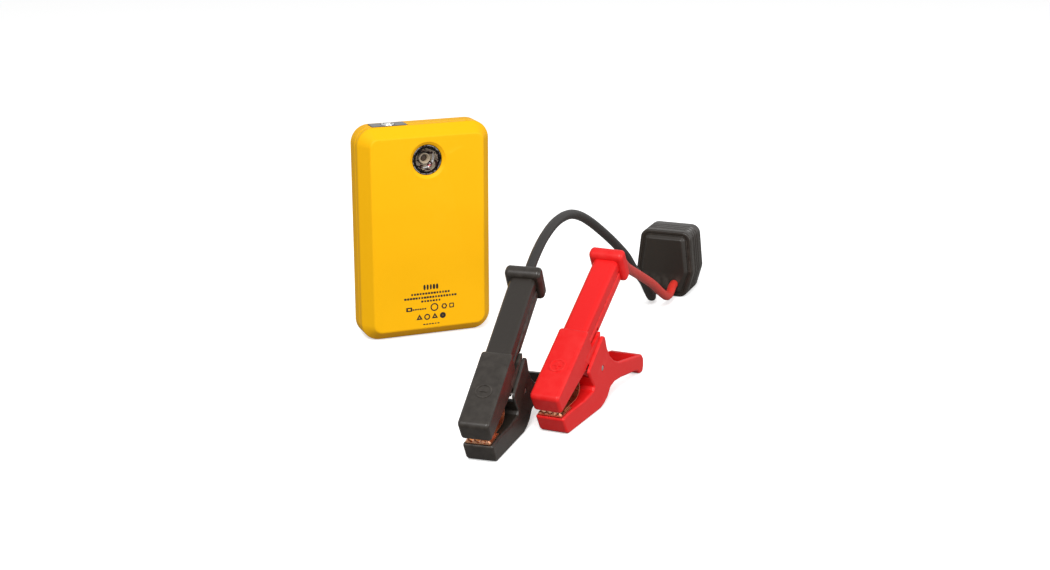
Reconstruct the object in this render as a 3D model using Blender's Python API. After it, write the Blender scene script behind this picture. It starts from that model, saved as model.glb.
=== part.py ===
"""Jump starter pack: a slim lithium battery pack standing on its base, and its lead set,
two spring clamps on leads that end in one plug block.

World frame: metres, +Z up, origin at the centre of the pack's flat base, X across the
pack's width, -Y out of the face that holds the lamp.
"""
import math

import bmesh
import bpy
from mathutils import Matrix, Vector

MM = 0.001

# ------------------------------------------------------------------ shared clearances (mm)
GAP = 0.3                # between pieces that touch or rest on each other
RUN = 0.35               # between pieces that slide or turn past each other
WALL = 2.0               # moulded walls of the pack
SCREW_R = 1.2            # screw shanks
SCREW_HEAD_R = 2.3
SIDES = 24               # flats round a turned piece
FEW_SIDES = 16           # flats round a small one
THROUGH = 1.0            # how far a cutter runs past what it cuts

# ------------------------------------------------------------------ pack (mm)
PACK_W = 82.0
PACK_T = 26.0
PACK_H = 130.0
PACK_CORNER_R = 11.0
FRONT_CHAMFER = (6.0, 7.7)       # along the face, in depth
REAR_CHAMFER = (4.0, 4.7)
SEAM_DEPTH = 12.0                # from the lamp face to the parting line
LIP_T = 0.9                      # rear shell's locating lip
LIP_H = 1.5
BOSS_R = 3.3
BOSS_INSET = (9.5, 12.5)         # from the side wall and from the end wall
BOSS_JOINT_Y = -1.3
BOSS_INTO_FACE = 0.7             # how far a front boss runs into the lamp face
SCREW_SEAT = 4.6                 # screw shoulder below the plain back
SCREW_SLOT = (1.4, 0.3, 0.7)     # half length, half width, depth
EDGE_EASE = 0.5                  # easing of the creases between face and chamfer
LAMP_X = 0.0
LAMP_DOWN = 20.4                 # lamp centre below the top
LAMP_R = 9.2
LAMP_FLARE = 1.7
LAMP_DEPTH = 8.2
LENS_T = 1.0
LENS_RECESS = 0.7
BOWL_DEPTH = 6.6
BOWL_SKIN = 0.75
SPREADER_T = 1.4
LED_R = 2.1
LAMP_SIDES = 28
PANEL_SIZE = (21.6, 11.0, 0.9)
PANEL_LEFT = 10.2                # panel's end from the pack's left side
PANEL_PROUD = 0.2
BUTTON_R = 4.0
BUTTON_TRAVEL = 0.6
BUTTON_PROUD = 0.9
BUTTON_FLANGE = (1.1, 1.0)       # wider by, thick
CELL_SIZE = (55.0, 5.6, 90.0)
CELL_COUNT = 3
CELL_FLOOR = 5.0                 # cells above the base
CELL_STRAP = (14.0, 5.0, 0.9)    # from the middle, half width, thickness
BOARD_T = 1.6
SIDE_PORT_DEPTH = 11.2           # sockets behind the side wall
SOCKET_SIZE = (9.6, 18.8)        # mouth of the lead socket, across and along
SOCKET_DOWN = 61.0
USB_SIZE = (5.4, 12.6)
USB_DOWN = 38.0
CHARGE_R = 2.9
CHARGE_DOWN = 24.0
SOCKET_WALL = 1.2
PIN_R = 2.0
PIN_PITCH = 9.0
COVER_T = 1.1
COVER_RECESS = 1.5
COVER_HINGE_OUT = 0.1            # hinge line outside the side wall
COVER_TAB = (1.8, 6.0, 0.1)      # along the flap, half height, proud of it
COVER_MARGIN = (3.5, 3.0, 1.1)   # flap past the ports: above, below and to each side

# ------------------------------------------------------------------ clamps (mm)
CLAMP_TILT = math.radians(31.0)  # handle's rise above the table
NOSE_LOW = 15.2                  # mouth line to the lower jaw's resting edge, at the nose
TOP = 12.8                       # mouth line to the cover's top
COVER_LENGTH = 48.5
CLAMP_LENGTH = 107.0
COVER_HALF = (8.2, 7.9)          # half width at the top and at the lower edge
HANDLE_HALF = 6.9
HANDLE_STEP = 0.7
HANDLE_DEPTH = 15.0
HANDLE_SPLIT = 4.3               # height of the handle's parting line
COLLAR_HALF = 9.8
COLLAR_LENGTH = 7.5
COLLAR_SPAN = (-4.4, 15.8)
SKIN = 1.7                       # moulded walls of the clamps
CHEEK_T = 1.4
PIVOT_U = 50.0
PIVOT_W = -19.0
EAR_R = 5.5
EAR_T = 1.8
PIVOT_R = 1.5
PLATE_T = 1.1
PLATE_HALF = 6.4
TOOTH_COUNT = 4
TOOTH_H = 1.5
STRAP_HALF = 5.2
STRAP_T = 0.5
STRAP_ROUTE = ((8.0, -5.2), (12.0, -7.2), (17.0, -9.9), (22.0, -12.3), (25.5, -12.9),
               (28.2, -11.4), (29.2, -7.6), (28.8, -3.0), (28.0, 0.6))
LUG_T = 1.2
LUG_W = 5.0                      # height of the lug and of the lead above the mouth line
SPRING_WIRE_R = 0.6
SPRING_R = 3.1
SPRING_TURNS = 3
SPRING_HALF = 3.9                # half length of the coil
SPRING_STEPS = 10                # points to a turn
SPRING_LEGS = (12.5, 1.4, 12.0, 9.5)     # upper: along, below; lower: along, below
HANDLE_BEVEL = 1.2
COLLAR_BEVEL = 1.6
FERRULE_R = (2.2, 2.7)
FERRULE_L = 10.0
LUG_START = 20.0
LUG_HALF = 3.0
LUG_SCREW_U = 27.0
CLAMPS = (("black", (-40.9, -210.4), 38.2), ("red", (7.4, -188.0), 45.5))

# ------------------------------------------------------------------ plug block (mm)
PLUG_AT = (171.0, 13.8)
PLUG_HEADING = 43.0
PLUG_HALF = (16.4, 19.2, 14.6)   # half width at the top, at the waist and at the foot
PLUG_H = 44.0
PLUG_WAIST_H = 17.0
PLUG_CORNER_R = 6.0
PLUG_WAIST_R = 8.0
PLUG_NOSE_R = 3.0
PLUG_CAP_T = 5.0
PLUG_PILLOW = 2.4
PLUG_BODY_L = 18.5
PLUG_TAPER_L = 16.5
PLUG_NOSE = (13.0, 8.0)          # half width and half height of the nose
PLUG_NOSE_Z = 17.0
PLUG_WALL = 1.8
PLUG_RIB = 0.9
PLUG_RIB_COUNT = 3
PLUG_RIB_PITCH = 4.0
INSERT_INSIDE = 6.0              # insert's length inside the nose
PLUG_BOARD_HALF = 9.0
RELAY_SIZE = (16.0, 9.0, 14.7)
INSERT_LENGTH = 16.0
SOCKET_FIT = 0.4                 # lead socket's mouth over the plug's insert
CONTACT_WALL = 0.7
LEAD_R = 2.75
LEAD_HOLES = ((-8.4, 9.4), (7.2, 9.0))   # across and up, on the cap
LEAD_INSIDE = 2.0                # how far a lead goes into the plug's body
LEAD_STEP = 1.265                # points along a lead, in its own widths

# ------------------------------------------------------------------ leads (mm), own points
BLACK_ROUTE = ((16.6, -137.2, 79.0), (27.0, -124.0, 85.0), (39.3, -109.0, 88.8),
               (50.1, -97.2, 89.8), (60.6, -86.3, 88.2), (71.3, -75.5, 83.5),
               (81.8, -65.7, 76.8), (92.5, -56.0, 68.8), (102.9, -47.2, 60.4),
               (112.9, -38.3, 51.8), (122.6, -29.8, 42.6), (131.6, -21.0, 32.0),
               (142.6, -13.6, 20.0), (150.2, -6.0, 9.6), (156.5, 2.5, 3.8), (159.6, 9.2, 5.6))
RED_ROUTE = ((69.0, -127.2, 73.6), (74.2, -119.6, 71.4), (81.6, -108.4, 65.0),
             (92.0, -93.0, 56.0), (103.5, -76.6, 48.0), (121.0, -54.6, 36.4),
             (139.8, -32.0, 23.6), (153.0, -17.4, 13.0), (161.8, -7.8, 6.6), (167.4, -1.2, 5.6))


def clear_scene():
    """Remove whatever the file holds."""
    for old in list(bpy.data.objects):
        bpy.data.objects.remove(old, do_unlink=True)


def material(name, colour, roughness, metallic=0.0):
    """One Principled material."""
    made = bpy.data.materials.new(name)
    made.use_nodes = True
    shader = made.node_tree.nodes["Principled BSDF"]
    shader.inputs["Base Color"].default_value = (*colour, 1.0)
    shader.inputs["Roughness"].default_value = roughness
    shader.inputs["Metallic"].default_value = metallic
    return made


def empty(name, matrix, parent=None):
    """A frame for an assembly."""
    made = bpy.data.objects.new(name, None)
    bpy.context.collection.objects.link(made)
    made.parent = parent
    made.matrix_local = matrix
    return made


def place(name, mesh, finish, parent=None, origin=(0, 0, 0)):
    """Put a bmesh made in mm into the scene, with its origin at a point of its own frame."""
    bmesh.ops.recalc_face_normals(mesh, faces=mesh.faces)
    bmesh.ops.transform(mesh, matrix=Matrix.Scale(MM, 4) @ Matrix.Translation(-Vector(origin)),
                        verts=mesh.verts)
    data = bpy.data.meshes.new(name)
    mesh.to_mesh(data)
    mesh.free()
    data.materials.append(finish)
    data.shade_smooth()
    data.set_sharp_from_angle(angle=math.radians(35))
    made = bpy.data.objects.new(name, data)
    bpy.context.collection.objects.link(made)
    made.parent = parent
    made.location = Vector(origin) * MM
    return made


def boolean(target, mesh, operation, origin=(0, 0, 0)):
    """Cut or join a bmesh, made in the target's frame, with an exact Boolean modifier."""
    name = f"{target.name}_{operation.lower()}_{len(target.modifiers)}"
    tool = place(name, mesh, target.data.materials[0], target.parent, origin)
    tool.hide_render = True
    tool.display_type = "WIRE"
    step = target.modifiers.new(name, "BOOLEAN")
    step.operation = operation
    step.object = tool
    step.solver = "EXACT"
    return step


def cut(target, mesh, origin=(0, 0, 0)):
    """Take a shape away from an object."""
    return boolean(target, mesh, "DIFFERENCE", origin)


def join(target, mesh, origin=(0, 0, 0)):
    """Add a shape to an object."""
    return boolean(target, mesh, "UNION", origin)


def round_edges(target, width, segments=1, angle=40):
    """A small bevel over an object's sharp edges, before its Booleans."""
    step = target.modifiers.new("edges", "BEVEL")
    step.width = width * MM
    step.segments = segments
    step.limit_method = "ANGLE"
    step.angle_limit = math.radians(angle)
    return step


# ------------------------------------------------------------------ shapes, in mm
def loft(rings):
    """A closed solid through rings of equal point counts, its ends filled."""
    mesh = bmesh.new()
    rows = [[mesh.verts.new(p) for p in ring] for ring in rings]
    count = len(rows[0])
    for low, high in zip(rows, rows[1:]):
        for i in range(count):
            j = (i + 1) % count
            mesh.faces.new((low[i], low[j], high[j], high[i]))
    mesh.faces.new(rows[0])
    mesh.faces.new(rows[-1])
    return mesh


def box(low, high):
    """A box between two corners."""
    (x0, y0, z0), (x1, y1, z1) = low, high
    ring = ((x0, y0), (x1, y0), (x1, y1), (x0, y1))
    return loft([[(x, y, z) for x, y in ring] for z in (z0, z1)])


def turned(profile, centre, axis, sides=SIDES):
    """A solid of revolution: profile is (distance along the axis, radius), end to end."""
    turn = Vector((0, 0, 1)).rotation_difference(Vector(axis).normalized()).to_matrix()
    rings = []
    for along, radius in profile:
        ring = []
        for i in range(sides):
            a = 2 * math.pi * i / sides
            local = Vector((radius * math.cos(a), radius * math.sin(a), along))
            ring.append(Vector(centre) + turn @ local)
        rings.append(ring)
    return loft(rings)


def rod(centre, axis, radius, start, end, sides=SIDES):
    """A plain round bar."""
    return turned(((start, radius), (end, radius)), centre, axis, sides)


def rounded_rectangle(width, height, radius, steps=4):
    """Outline points of a rectangle with round corners, about its centre."""
    points = []
    for quarter, (sx, sy) in enumerate(((1, 1), (-1, 1), (-1, -1), (1, -1))):
        cx = sx * (width / 2 - radius)
        cy = sy * (height / 2 - radius)
        for i in range(steps + 1):
            a = math.pi / 2 * (quarter + i / steps)
            points.append((cx + radius * math.cos(a), cy + radius * math.sin(a)))
    return points


def smooth_route(points, spacing):
    """Points a set distance apart on a Catmull-Rom curve through a route's own points."""
    points = [Vector(p) for p in points]
    ends = [2 * points[0] - points[1], *points, 2 * points[-1] - points[-2]]
    fine = []
    for a, b, c, d in zip(ends, ends[1:], ends[2:], ends[3:]):
        for i in range(20):
            t = i / 20
            fine.append(0.5 * (2 * b + (c - a) * t + (2 * a - 5 * b + 4 * c - d) * t ** 2
                               + (3 * b - a - 3 * c + d) * t ** 3))
    fine.append(points[-1])
    total = sum((q - p).length for p, q in zip(fine, fine[1:]))
    count = max(2, round(total / spacing))
    kept = [fine[0]]
    walked = 0.0
    for p, q in zip(fine, fine[1:]):
        step = (q - p).length
        while len(kept) < count and walked + step >= len(kept) * total / count:
            kept.append(p.lerp(q, (len(kept) * total / count - walked) / step))
        walked += step
    kept.append(fine[-1])
    return kept


def tube(name, points, radius, finish, parent=None, resolution=2):
    """A curve object with a round bevel and filled caps along points in mm."""
    data = bpy.data.curves.new(name, "CURVE")
    data.dimensions = "3D"
    data.bevel_depth = radius * MM
    data.bevel_resolution = resolution
    data.use_fill_caps = True
    data.render_resolution_u = 0
    spline = data.splines.new("POLY")
    spline.points.add(len(points) - 1)
    for slot, point in zip(spline.points, points):
        slot.co = (*(Vector(point) * MM), 1.0)
    data.materials.append(finish)
    made = bpy.data.objects.new(name, data)
    bpy.context.collection.objects.link(made)
    made.parent = parent
    return made


# ------------------------------------------------------------------ pack
def pack_ring(inset, y):
    """The pack's rounded outline at one depth, drawn in by inset."""
    radius = max(PACK_CORNER_R - inset, 2.0)
    outline = rounded_rectangle(PACK_W - 2 * inset, PACK_H - 2 * inset, radius)
    return [(x, y, z + PACK_H / 2) for x, z in outline]


FRONT_Y = -PACK_T / 2
BACK_Y = PACK_T / 2
SEAM_Y = FRONT_Y + SEAM_DEPTH
REAR_START = SEAM_Y + GAP
LAMP_Z = PACK_H - LAMP_DOWN
INNER_X = PACK_W / 2 - WALL
INNER_FRONT = FRONT_Y + WALL
INNER_BACK = BACK_Y - WALL
PANEL_Y = (SEAM_Y + REAR_START) / 2 + 1.9
PANEL_X = -PACK_W / 2 + PANEL_LEFT + PANEL_SIZE[0] / 2
BUTTON_AT = (PANEL_X, PANEL_Y)
PORT_Y = 1.6                     # line of the side ports
BOARD_Y = 4.6
BOSSES = [(sx * (PACK_W / 2 - BOSS_INSET[0]), z) for sx in (-1, 1)
          for z in (BOSS_INSET[1], PACK_H - BOSS_INSET[1])]


def side_mouth(down, size, grow=0.0, x0=None, x1=None):
    """A rounded box through the right side wall, at a depth below the top."""
    x0 = PACK_W / 2 - SIDE_PORT_DEPTH if x0 is None else x0
    x1 = PACK_W / 2 + 2 if x1 is None else x1
    outline = rounded_rectangle(size[0] + 2 * grow, size[1] + 2 * grow, 1.0 + grow, 3)
    return loft([[(x, PORT_Y + y, PACK_H - down + z) for y, z in outline] for x in (x0, x1)])


def cover_outline(grow=0.0):
    """Outline of the port cover in Y and Z: it spans all three side ports."""
    above, below, beside = COVER_MARGIN
    top = PACK_H - CHARGE_DOWN + CHARGE_R + above
    bottom = PACK_H - SOCKET_DOWN - SOCKET_SIZE[1] / 2 - below
    width = SOCKET_SIZE[0] + 2 * beside
    outline = rounded_rectangle(width + 2 * grow, top - bottom + 2 * grow, 2.2 + grow, 4)
    return [(PORT_Y + y, (top + bottom) / 2 + z) for y, z in outline]


def cover_slab(x0, x1, grow=0.0):
    """A slab of the port cover's outline between two depths."""
    return loft([[(x, y, z) for y, z in cover_outline(grow)] for x in (x0, x1)])


def panel_slab(z0, z1, grow=0.0):
    """A slab of the top panel's outline between two heights."""
    outline = rounded_rectangle(PANEL_SIZE[0] + 2 * grow, PANEL_SIZE[1] + 2 * grow, 1.5, 3)
    return loft([[(PANEL_X + x, PANEL_Y + y, z) for x, y in outline] for z in (z0, z1)])


def shell_cuts(shell):
    """The recesses and mouths that cross the parting line, cut from either shell alike."""
    cut(shell, panel_slab(PACK_H + PANEL_PROUD - PANEL_SIZE[2] - GAP, PACK_H + 3, GAP))
    cut(shell, rod((*BUTTON_AT, 0), (0, 0, 1), BUTTON_R + RUN, PACK_H - 2 * WALL, PACK_H + 3))
    cut(shell, cover_slab(PACK_W / 2 - COVER_RECESS, PACK_W / 2 + 3, GAP))
    for down, size in ((SOCKET_DOWN, SOCKET_SIZE), (USB_DOWN, USB_SIZE)):
        cut(shell, side_mouth(down, size, SOCKET_WALL + GAP))
    centre = (0, PORT_Y, PACK_H - CHARGE_DOWN)
    cut(shell, rod(centre, (1, 0, 0), CHARGE_R + SOCKET_WALL + GAP, PACK_W / 2 - SIDE_PORT_DEPTH,
                   PACK_W / 2 + 2))


def front_shell(finish):
    """The half with the lamp: chamfered tray, lamp mouth and four screw bosses."""
    along, deep = FRONT_CHAMFER
    crease = FRONT_Y + deep
    shell = place("front_shell", loft([
        pack_ring(along + EDGE_EASE, FRONT_Y), pack_ring(along - EDGE_EASE, FRONT_Y + EDGE_EASE),
        pack_ring(EDGE_EASE, crease - EDGE_EASE), pack_ring(0.0, crease + EDGE_EASE),
        pack_ring(0.0, SEAM_Y),
        pack_ring(WALL, SEAM_Y), pack_ring(WALL, crease + 0.3),
        pack_ring(along + WALL * 0.8, INNER_FRONT)]), finish)
    flare = turned(((-1, LAMP_R + LAMP_FLARE + 0.6), (0, LAMP_R + LAMP_FLARE), (1.4, LAMP_R),
                    (LAMP_DEPTH, LAMP_R)), (LAMP_X, FRONT_Y, LAMP_Z), (0, 1, 0),
                   LAMP_SIDES)
    for x, z in BOSSES:
        join(shell, rod((x, 0, z), (0, 1, 0), BOSS_R - RUN, INNER_FRONT - BOSS_INTO_FACE,
                        BOSS_JOINT_Y, 12))
    for x, z in BOSSES:
        cut(shell, rod((x, 0, z), (0, 1, 0), SCREW_R + GAP, INNER_FRONT + 0.6, 0, 12))
    cut(shell, flare)
    shell_cuts(shell)
    return shell


def rear_shell(finish):
    """The plain half, with the locating lip and the counterbored screw bosses."""
    along, deep = REAR_CHAMFER
    crease = BACK_Y - deep
    lip_out = WALL + GAP
    lip_in = lip_out + LIP_T
    shell = place("rear_shell", loft([
        pack_ring(along + EDGE_EASE, BACK_Y), pack_ring(along - EDGE_EASE, BACK_Y - EDGE_EASE),
        pack_ring(EDGE_EASE, crease + EDGE_EASE), pack_ring(0.0, crease - EDGE_EASE),
        pack_ring(0.0, REAR_START),
        pack_ring(lip_out, REAR_START), pack_ring(lip_out, SEAM_Y - LIP_H),
        pack_ring(lip_in, SEAM_Y - LIP_H), pack_ring(lip_in, REAR_START + 1.5),
        pack_ring(WALL, REAR_START + 2.8), pack_ring(WALL, crease - EDGE_EASE),
        pack_ring(along + WALL * 0.8, INNER_BACK)]), finish)
    for x, z in BOSSES:
        join(shell, rod((x, 0, z), (0, 1, 0), BOSS_R, BOSS_JOINT_Y + GAP, INNER_BACK + 0.8, 16))
    for x, z in BOSSES:
        cut(shell, turned(((-3, SCREW_R + GAP), (screw_seat(), SCREW_R + GAP),
                           (screw_seat(), SCREW_HEAD_R + GAP), (BACK_Y + 1, SCREW_HEAD_R + GAP)),
                          (x, 0, z), (0, 1, 0), 16))
    cut(shell, rod((*BUTTON_AT, 0), (0, 0, 1), BUTTON_R + BUTTON_FLANGE[0] + RUN,
                   PACK_H - 3 * WALL, PACK_H - WALL - GAP / 2))
    shell_cuts(shell)
    return shell


def screw_seat():
    """Depth in Y of the shoulder under each shell screw's head."""
    return BACK_Y - SCREW_SEAT


def shell_screws(finish):
    """Four pan head screws that hold the shells together."""
    long, narrow, deep = SCREW_SLOT
    for number, (x, z) in enumerate(BOSSES, 1):
        seat = screw_seat() + GAP
        low = seat + 1.5 - deep
        screw = place(f"shell_screw_{number}", turned(
            ((INNER_FRONT + 1.4, SCREW_R - 0.3), (INNER_FRONT + 2.2, SCREW_R), (seat, SCREW_R),
             (seat, SCREW_HEAD_R), (seat + 1.0, SCREW_HEAD_R), (seat + 1.5, SCREW_HEAD_R - 0.6)),
            (x, 0, z), (0, 1, 0), 16), finish)
        cut(screw, box((x - long, low, z - narrow), (x + long, seat + 2, z + narrow)))
        cut(screw, box((x - narrow, low, z - long), (x + narrow, seat + 2, z + long)))


def top_controls(gloss, button, board):
    """Glossy panel, power button and the switch that it presses."""
    top = PACK_H + PANEL_PROUD
    panel = place("top_panel", panel_slab(top - PANEL_SIZE[2], top), gloss)
    cut(panel, rod((*BUTTON_AT, 0), (0, 0, 1), BUTTON_R + RUN, PACK_H - 3, PACK_H + 3))
    wider, thick = BUTTON_FLANGE
    under = PACK_H - WALL - GAP
    crown = PACK_H + BUTTON_PROUD
    place("power_button", turned(
        ((under - thick, BUTTON_R + wider), (under, BUTTON_R + wider), (under, BUTTON_R),
         (crown - 0.7, BUTTON_R), (crown - 0.2, BUTTON_R - 0.7), (crown, BUTTON_R - 1.8)),
        (*BUTTON_AT, 0), (0, 0, 1)), button, origin=(*BUTTON_AT, under))
    x, y = BUTTON_AT
    stop = under - thick - BUTTON_TRAVEL - 0.2
    body_y = (y - 3.0, BOARD_Y - GAP)
    switch = place("button_switch", box((x - 3, body_y[0], stop - 4.6),
                                        (x + 3, body_y[1], stop - 1.0)), board)
    join(switch, rod((x, y, 0), (0, 0, 1), 1.7, stop - 1.4, stop, 12))


def lamp(chrome, clear, board):
    """Reflector bowl, its clear lens and the emitter on its heat spreader."""
    centre = (LAMP_X, FRONT_Y, LAMP_Z)
    rim = LENS_RECESS + LENS_T + GAP
    place("lamp_lens", rod(centre, (0, 1, 0), LAMP_R - GAP, LENS_RECESS, LENS_RECESS + LENS_T,
                           LAMP_SIDES), clear)
    inner = [(rim + BOWL_DEPTH * t * t, LED_R + GAP + (LAMP_R - 1.2 - LED_R) * math.sqrt(1 - t * t))
             for t in (0.0, 0.35, 0.6, 0.8, 0.93, 1.0)]
    outer = [(along + 0.6, radius + BOWL_SKIN) for along, radius in reversed(inner)]
    outer[-1] = (rim + 0.9, LAMP_R - GAP)
    outer.append((rim, LAMP_R - GAP))
    mesh = bmesh.new()
    rows = []
    for along, radius in inner + outer:
        rows.append([mesh.verts.new((LAMP_X + radius * math.cos(a), FRONT_Y + along,
                                     LAMP_Z + radius * math.sin(a)))
                     for a in (2 * math.pi * i / LAMP_SIDES for i in range(LAMP_SIDES))])
    for low, high in zip(rows, rows[1:] + rows[:1]):
        for i in range(LAMP_SIDES):
            j = (i + 1) % LAMP_SIDES
            mesh.faces.new((low[i], low[j], high[j], high[i]))
    place("lamp_reflector", mesh, chrome)
    seat = rim + BOWL_DEPTH + 0.6 + GAP
    spreader = place("lamp_board", rod(centre, (0, 1, 0), LAMP_R - 1.0, seat, seat + SPREADER_T,
                                       FEW_SIDES), board)
    join(spreader, turned(((seat - 1.5, 0.9), (seat - 1.3, LED_R - 0.5), (seat - 0.6, LED_R),
                           (seat + 0.5, LED_R)), centre, (0, 1, 0), FEW_SIDES))


def battery(foil, foam, tab):
    """Three pouch cells, a foam pad and the two straps across their tabs."""
    wide, thick, tall = CELL_SIZE
    low = CELL_FLOOR
    pitch = thick + GAP
    first = -(CELL_COUNT * pitch - GAP) / 2
    for number in range(CELL_COUNT):
        y = first + number * pitch
        cell = place(f"battery_cell_{number + 1}",
                     box((-wide / 2, y, low), (wide / 2, y + thick, low + tall)), foil)
        round_edges(cell, 1.2)
    place("battery_foam", box((-wide / 2 + 4, INNER_FRONT + GAP, low + 6),
                              (wide / 2 - 4, first - GAP, low + tall - 14)), foam)
    over = low + tall + GAP
    out, half, strap_t = CELL_STRAP
    for side, name in ((-1, "cell_strap_negative"), (1, "cell_strap_positive")):
        place(name, box((side * out - half, first + 1, over),
                        (side * out + half, -first - 1, over + strap_t)), tab)
    return over + strap_t


def side_ports(finish, steel, board, brass):
    """Lead socket, charging sockets and their pins, behind the right side wall."""
    x0 = PACK_W / 2 - SIDE_PORT_DEPTH
    mouth = PACK_W / 2 - COVER_RECESS - 0.1
    z = PACK_H - SOCKET_DOWN
    socket = place("lead_socket", side_mouth(SOCKET_DOWN, SOCKET_SIZE, SOCKET_WALL, x0, mouth),
                   finish)
    cut(socket, side_mouth(SOCKET_DOWN, SOCKET_SIZE, 0.0, x0 + 1.5, mouth + 1))
    for side, name in ((-1, "socket_pin_negative"), (1, "socket_pin_positive")):
        at = (0, PORT_Y, z + side * PIN_PITCH / 2)
        cut(socket, rod(at, (1, 0, 0), PIN_R - 0.6 + GAP, x0 - 1, x0 + 2, 16))
        place(name, turned(((x0 - 0.8, PIN_R - 0.6), (x0 + 1.5 + GAP, PIN_R - 0.6),
                            (x0 + 1.5 + GAP, PIN_R), (mouth - 1.6, PIN_R), (mouth - 1.0, PIN_R - 0.5)),
                           at, (1, 0, 0), 16), brass)
    usb = place("usb_socket", side_mouth(USB_DOWN, USB_SIZE, SOCKET_WALL - 0.6, x0, mouth), steel)
    cut(usb, side_mouth(USB_DOWN, USB_SIZE, 0.0, x0 + 1.0, mouth + 1))
    z = PACK_H - USB_DOWN
    join(usb, box((x0 + 0.5, PORT_Y - USB_SIZE[0] / 2 + 0.4, z - USB_SIZE[1] / 2 + 1.2),
                  (mouth - 2.0, PORT_Y - 0.9, z + USB_SIZE[1] / 2 - 1.2)))
    z = PACK_H - CHARGE_DOWN
    grow = CHARGE_R + SOCKET_WALL
    jack = place("charge_socket", turned(((x0, grow), (mouth, grow)), (0, PORT_Y, z), (1, 0, 0), 16),
                 finish)
    cut(jack, rod((0, PORT_Y, z), (1, 0, 0), CHARGE_R, x0 + 2.0, mouth + 1, 16))
    join(jack, turned(((x0 + 1, 0.7), (mouth - 2.0, 0.7), (mouth - 1.5, 0.4)), (0, PORT_Y, z),
                      (1, 0, 0), 8))


def port_cover(rubber):
    """Rubber flap over the side ports, hinged along its rear edge, with a finger tab."""
    x0 = PACK_W / 2 - COVER_RECESS + GAP
    points = cover_outline()
    rear = max(y for y, _ in points)
    top = max(z for _, z in points)
    bottom = min(z for _, z in points)
    hinge = (PACK_W / 2 + COVER_HINGE_OUT, rear, (top + bottom) / 2)
    flap = place("port_cover", cover_slab(x0, x0 + COVER_T), rubber, origin=hinge)
    front = min(y for y, _ in points)
    middle = (top + bottom) / 2
    along, half, proud = COVER_TAB
    join(flap, box((x0 + COVER_T / 2, front + 0.8, middle - half),
                   (x0 + COVER_T + proud, front + 0.8 + along, middle + half)))


def main_board(finish, over_cells):
    """Control board above the cells, behind the lamp."""
    wide = CELL_SIZE[0]
    top = PACK_H - WALL - 3.2
    place("main_board", box((-wide / 2, BOARD_Y, over_cells + 1.0),
                            (wide / 2, BOARD_Y + BOARD_T, top)), finish)


# ------------------------------------------------------------------ clamps
def clamp_point(u, v, w):
    """A point of the upper shell's own lines (along, across, up) in the clamp's frame, whose
    Y runs along the table and whose Z is up, with the nose's resting edge at the origin."""
    c = math.cos(CLAMP_TILT)
    s = math.sin(CLAMP_TILT)
    rise = w + NOSE_LOW
    return (v, u * c - rise * s, u * s + rise * c)


def floor_w(u):
    """Height, on the upper shell's lines, of the table under a point that far along."""
    return -NOSE_LOW - u * math.tan(CLAMP_TILT)


def slab(outline, v0, v1=None, width=None):
    """The outline, drawn along and up, made solid across from v0 to v1. width(u, w, v)
    may give each corner its own place across."""
    v0, v1 = (-v0, v0) if v1 is None else (v0, v1)
    shift = width or (lambda u, w, v: v)
    return loft([[clamp_point(u, shift(u, w, v), w) for u, w in outline] for v in (v0, v1)])


def clamp_rod(u, w, radius, v0, v1, sides=16):
    """A round bar across the clamp."""
    ring = [(u + radius * math.cos(a), w + radius * math.sin(a))
            for a in (2 * math.pi * i / sides for i in range(sides))]
    return slab(ring, v0, v1)


def along_rod(profile, w, sides=16, v=0.0):
    """A round bar along the clamp: profile is (distance along, radius)."""
    rings = []
    for u, radius in profile:
        rings.append([clamp_point(u, v + radius * math.cos(a), w + radius * math.sin(a))
                      for a in (2 * math.pi * i / sides for i in range(sides))])
    return loft(rings)


def cover_width(u, w, v):
    """Draft of the jaw cover: narrower at its top than at its lower edge."""
    top, low = COVER_HALF
    share = min(1.0, max(0.0, (TOP - w) / (TOP + 5)))
    narrow = 0.35 if u < 2 else 0.0
    return math.copysign(top + (low - top) * share - narrow, v)


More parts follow.
